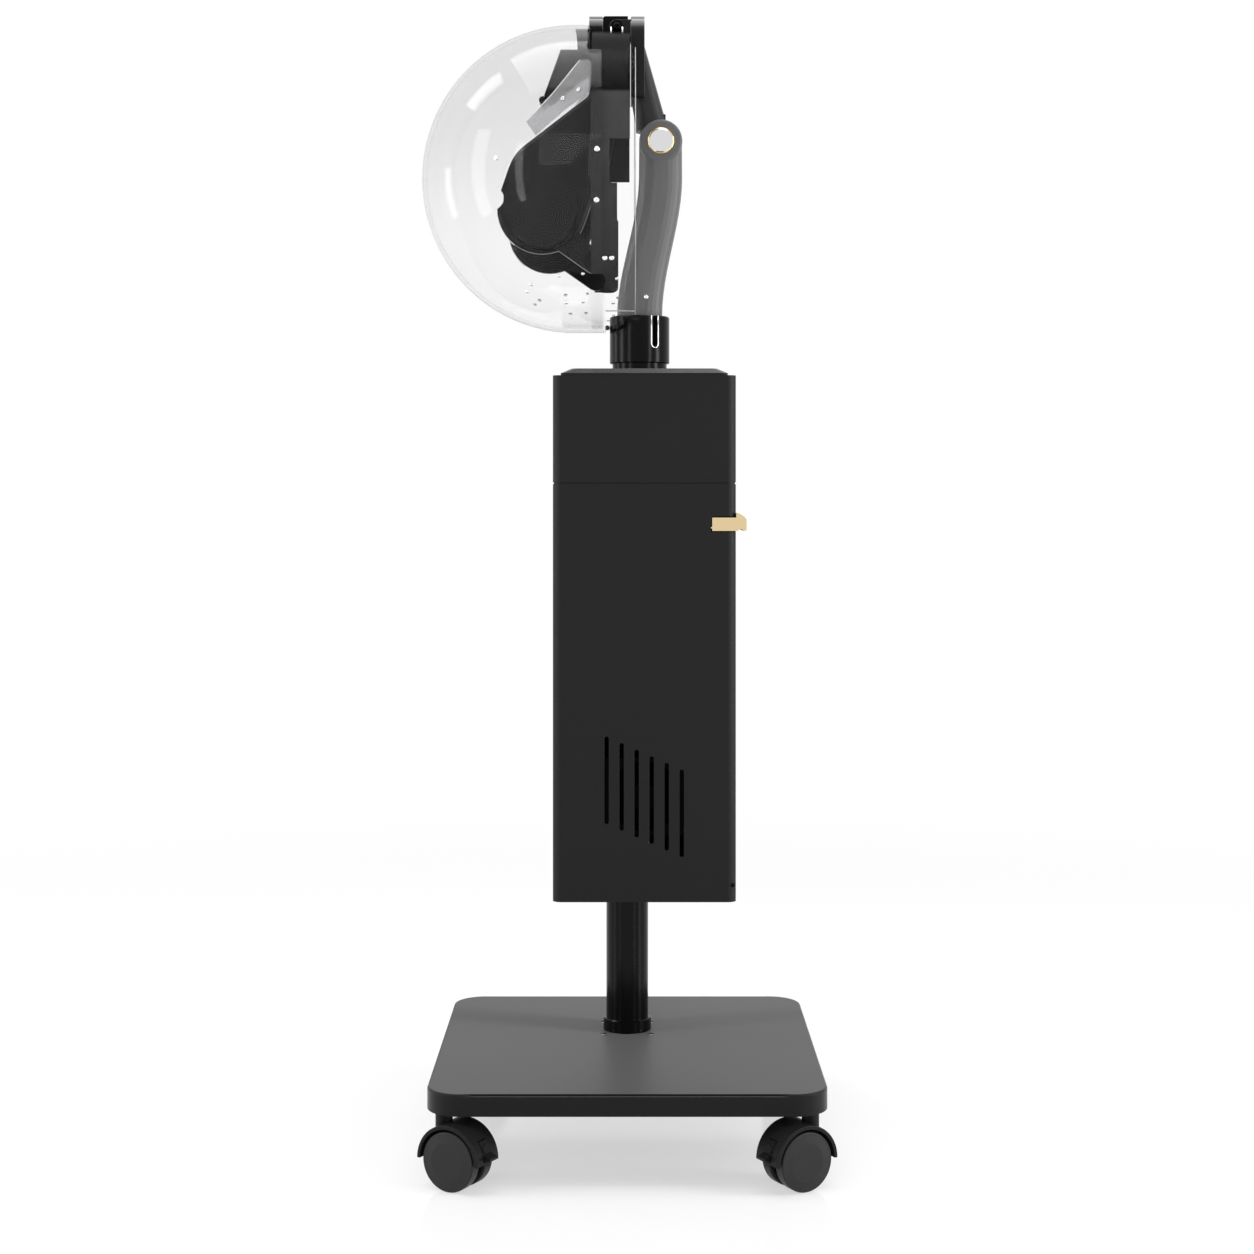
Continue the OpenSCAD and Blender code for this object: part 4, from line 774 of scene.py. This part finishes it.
# %% Strap and arm screws
STRAP_FACE = box_mm("mist_blade")[1].y
PLAIN_SCREW = 3.0            # radius of these screws
strap_screws = {1: (-74.8, 1213.7), 2: (-56.2, 1224.2)}   # where they sit, along X and in height
ARM_SCREW = (22.7, -22.7, 990.5)
for side, label in SIDES:
    for number, (x, z) in strap_screws.items():
        screw(f"strap_screw_{number}_{label}", (x, side * STRAP_FACE, z), (0, side, 0), PLAIN_SCREW, "hood")
screw("arm_screw", ARM_SCREW, (0, -1, 0), PLAIN_SCREW, "arm")
print("strap and arm screws:", 2 * len(strap_screws) + 1)


# %% [markdown]
# The knuckle's chrome cap is set in a thin gold rim. A torus would be simpler, but it has no
# flat flank. So the rim's profile is turned about the pin like a ring on a lathe, and the same
# function later makes the rubber bumper at the hood's lip.

# %% Cap rims
def lathe_y(name, profile, centre, side, body, material, sides=48):
    """Turns (radius, depth) points about an axis along Y. A negative side faces the camera."""
    bm = bmesh.new()
    loops = [[bm.verts.new(mm(centre[0] + r * c, centre[1] + side * d, centre[2] + r * s))
              for c, s in circle(sides)] for r, d in profile]
    belt(bm, loops + loops[:1])
    add_piece(name, bm, material, body)


KNUCKLE = middle_mm("knuckle_cap")
CHEEK = 23.0                 # from the arm's middle to the face that carries the rim
rim_profile = [(14.55, -0.2), (16.0, -0.2), (16.0, 0.8), (15.4, 1.6), (14.55, 1.8)]
for side, label in SIDES:
    lathe_y(f"cap_rim_{label}", rim_profile, (KNUCKLE.x, side * CHEEK, KNUCKLE.z), side, "arm",
            finish["gold_rim"])
print("cap rims: radius", rim_profile[1][0], "mm")


# %% [markdown]
# A bent wire clip hangs from the hood's hinge pin on each side, with a black knob near its
# top. A curve with a round bevel would look the same. Here a circle of points is carried along
# the path instead, so that every fitting is a mesh and goes through the same helper.

# %% Pin clips
WIRE_SIDES = 10


def wire(name, points, radius, body, material):
    """A round wire through points in millimetres, closed at both ends."""
    path = [mm(*p) for p in points]
    bm = bmesh.new()
    loops = []
    for k, point in enumerate(path):
        ahead = (path[min(k + 1, len(path) - 1)] - path[max(k - 1, 0)]).normalized()
        # where the wire runs along Y, X is taken as its side instead
        aside = Vector((0, 1, 0)) if abs(ahead.y) < 0.9 else Vector((1, 0, 0))
        across = ahead.cross(aside).normalized()
        up = across.cross(ahead)
        loops.append([bm.verts.new(point + (across * c + up * s) * radius * MM)
                      for c, s in circle(WIRE_SIDES)])
    belt(bm, loops)
    bm.faces.new(loops[0])
    bm.faces.new(loops[-1])
    add_piece(name, bm, material, body)


def polar(radius, degrees):
    """The two coordinates of a point at a radius and an angle."""
    angle = math.radians(degrees)
    return (radius * math.cos(angle), radius * math.sin(angle))


def arc(radius, start, stop, step):
    """Points of an arc round the origin, between two angles in degrees."""
    return [polar(radius, a) for a in range(start, stop, step)]


PIN = middle_mm("hinge_pin")
CLIP_R = 6.7                 # half of the clip's width
CLIP_WIRE = 1.1              # radius of its wire
CLIP_ENDS = -2.0             # height of the wire's ends over the pin's middle
CLIP_FALL = 10.4             # from the pin's middle down to the middle of the clip's bend
CLIP_DEPTH = 36.0            # from the middle plane to the clip
KNOB_R, KNOB_DEPTH = 5.0, 34.0
clip_path = [(-CLIP_R, CLIP_ENDS)] + [(x, z - CLIP_FALL) for x, z in arc(CLIP_R, 180, 361, 15)]
clip_path += [(CLIP_R, CLIP_ENDS)]
for side, label in SIDES:
    clip = [(PIN.x + x, side * CLIP_DEPTH, PIN.z + z) for x, z in clip_path]
    wire(f"pin_clip_{label}", clip, CLIP_WIRE, "link", finish["chrome"])
    screw(f"pin_knob_{label}", (PIN.x, side * KNOB_DEPTH, PIN.z - 1), (0, side, 0), KNOB_R, "link",
          finish["hood_gloss"])
print("pin clips: 2, and their knobs")


# %% [markdown]
# Clear plastic shows pale where it is cut, and the pods' glossy edge catches a highlight, so the
# straps and the pods carry a thin painted highlight: a pale wire along the edge. A bevel along
# each cut would be truer, but a wire laid on it is simple and shows at this size. All these lines
# are given from the hood's middle, as a distance along its axis and a height. The pods' line
# follows the pod's outline, with a gap at the pod's finger notch.

# %% Lines of the painted edge highlights
POD_BACK = (-35.0, -50.0, 52.0)      # the pod's three rounds: along, height and radius
POD_MID = (-24.0, -18.0, 52.0)
POD_TOP = (31.0, 70.0, 16.0)
HIGHLIGHT_OUT = 0.3                     # how far the highlight line's middle lies outside the pod
NOTCH_TOP = (-81.8, -25.0)           # where the highlight line stops above the finger notch


def on_round(centre, degrees):
    """A point on one of the pod's rounds, just outside its edge."""
    along, height, radius = centre
    x, z = polar(radius + HIGHLIGHT_OUT, degrees)
    return (along + x, height + z)


pod_highlight_upper = [on_round(POD_TOP, 127.7)]
pod_highlight_upper += [on_round(POD_MID, a) for a in range(128, 162, 8)] + [NOTCH_TOP]
pod_highlight_lower = [on_round(POD_BACK, a) for a in range(184, 233, 8)]
strap_lower = [(-43.0, 37.0), (-13.0, 64.0), (19.0, 87.0), (32.0, 99.0)]
strap_upper = [(-54.0, 53.0), (-23.0, 86.0), (8.0, 124.0)]
painted_edge_highlights = {                     # line, distance from the middle plane, and radius
    "pod_highlight_upper": (pod_highlight_upper, 118.0, 0.8), "pod_highlight_lower": (pod_highlight_lower, 118.0, 0.8),
    "strap_edge_low": (strap_lower, 107.2, 0.6), "strap_edge_top": (strap_upper, 107.2, 0.6),
}
print("lines:", ", ".join(painted_edge_highlights))

# %% [markdown]
# The clear band's free rim shows as a thin line in front of the arm, and ends below in the
# notch that lets the arm pass. Both are greyer than the other edges, and both lie in the
# band's wall. Both are painted: grey wires stand in for the light and shade along the clear edge.

# %% Painted edge highlights and the band's rim lines
NOTCH_HALF = 77.0                    # half of the notch's width
NOTCH_INSET = 3.5                    # from the dome's outer radius in to the notch's edge
NOTCH_ALONG = (38.0, 56.0, 73.0)     # the points of its line along the hood's axis
RIM_INSET = 0.8                      # from the band's outer radius in to the rim's middle
RIM_BACK = 0.6                       # from the band's end back to the rim's middle
NOTCH_WIRE, RIM_WIRE = 0.7, 0.5      # radius of the two lines
band_high = box_mm("clear_band")[1]
rim_r = band_high.y - RIM_INSET
notch_fall = math.sqrt((DOME_R - NOTCH_INSET) ** 2 - NOTCH_HALF ** 2)
for side, label in SIDES:
    for name, (line, depth, radius) in painted_edge_highlights.items():
        wire(f"{name}_{label}", [(DOME[0] + x, side * depth, DOME[2] + z) for x, z in line], radius,
             "hood", finish["painted_clear_highlight"])
    notch = [(DOME[0] + x, side * NOTCH_HALF, DOME[2] - notch_fall) for x in NOTCH_ALONG]
    wire(f"notch_edge_{label}", notch, NOTCH_WIRE, "hood", finish["painted_clear_rim"])
    rim = [(band_high.x - RIM_BACK, side * y, DOME[2] + z) for z, y in arc(rim_r, 43, 156, 4)]
    wire(f"band_rim_{label}", rim, RIM_WIRE, "hood", finish["painted_clear_rim"])
print("bright edges:", 2 * len(painted_edge_highlights) + 4)

# %% [markdown]
# A small rubber bumper sits at the lip of the hood, where it would meet the collar. It is a
# short rod with bevelled ends. A cylinder with a bevel modifier would do, but the lathe of the
# cap rims makes it in one call.

# %% Lip bumper
BUMPER_PLACE = (-24.0, 0.0, 955.0)
bumper_profile = [(0.1, -8.0), (2.3, -8.0), (2.6, -7.4), (2.6, 7.4), (2.3, 8.0), (0.1, 8.0)]
lathe_y("lip_bumper", bumper_profile, BUMPER_PLACE, 1, "hood", finish["hose_rubber"], sides=20)
print("lip bumper: length", 2 * bumper_profile[-1][1], "mm")

# %% [markdown]
# The collar has an upright slot with a bright bevel. The wire that draws it is laid out flat,
# as a U of (distance round, height), and then wrapped round the collar, which is easier than
# finding each of its points in the round.

# %% Rim of the collar's slot
SLOT_TURN = math.radians(-60)        # where round the collar the slot is
SLOT_HALF = 4.6                      # half of the slot's width
SLOT_TOP, SLOT_MIDDLE, SLOT_LOW = 967.5, 950.0, 933.5
SLOT_WIRE = 0.8                      # radius of the wire
SLOT_OUT = 0.2                       # from the collar's wall out to the wire's middle
COLLAR_X = middle_mm("swivel_collar").x
COLLAR_R = box_mm("swivel_collar")[1].y
wrap_r = COLLAR_R + SLOT_OUT
slot_edge = [(-SLOT_HALF, z) for z in (SLOT_TOP, SLOT_MIDDLE, SLOT_LOW)]
slot_edge += [(s, SLOT_LOW + z) for s, z in arc(SLOT_HALF, 210, 331, 30)]
slot_edge += [(SLOT_HALF, z) for z in (SLOT_LOW, SLOT_MIDDLE, SLOT_TOP)]


def wrap(across, height):
    """The place on the collar of a point of the flat U."""
    angle = SLOT_TURN + across / COLLAR_R
    return (COLLAR_X + wrap_r * math.cos(angle), wrap_r * math.sin(angle), height)


wrapped = [wrap(across, height) for across, height in slot_edge]
wire("collar_slot_rim", wrapped, SLOT_WIRE, "stand", finish["chrome"])
print("collar slot: width", 2 * SLOT_HALF, "mm")
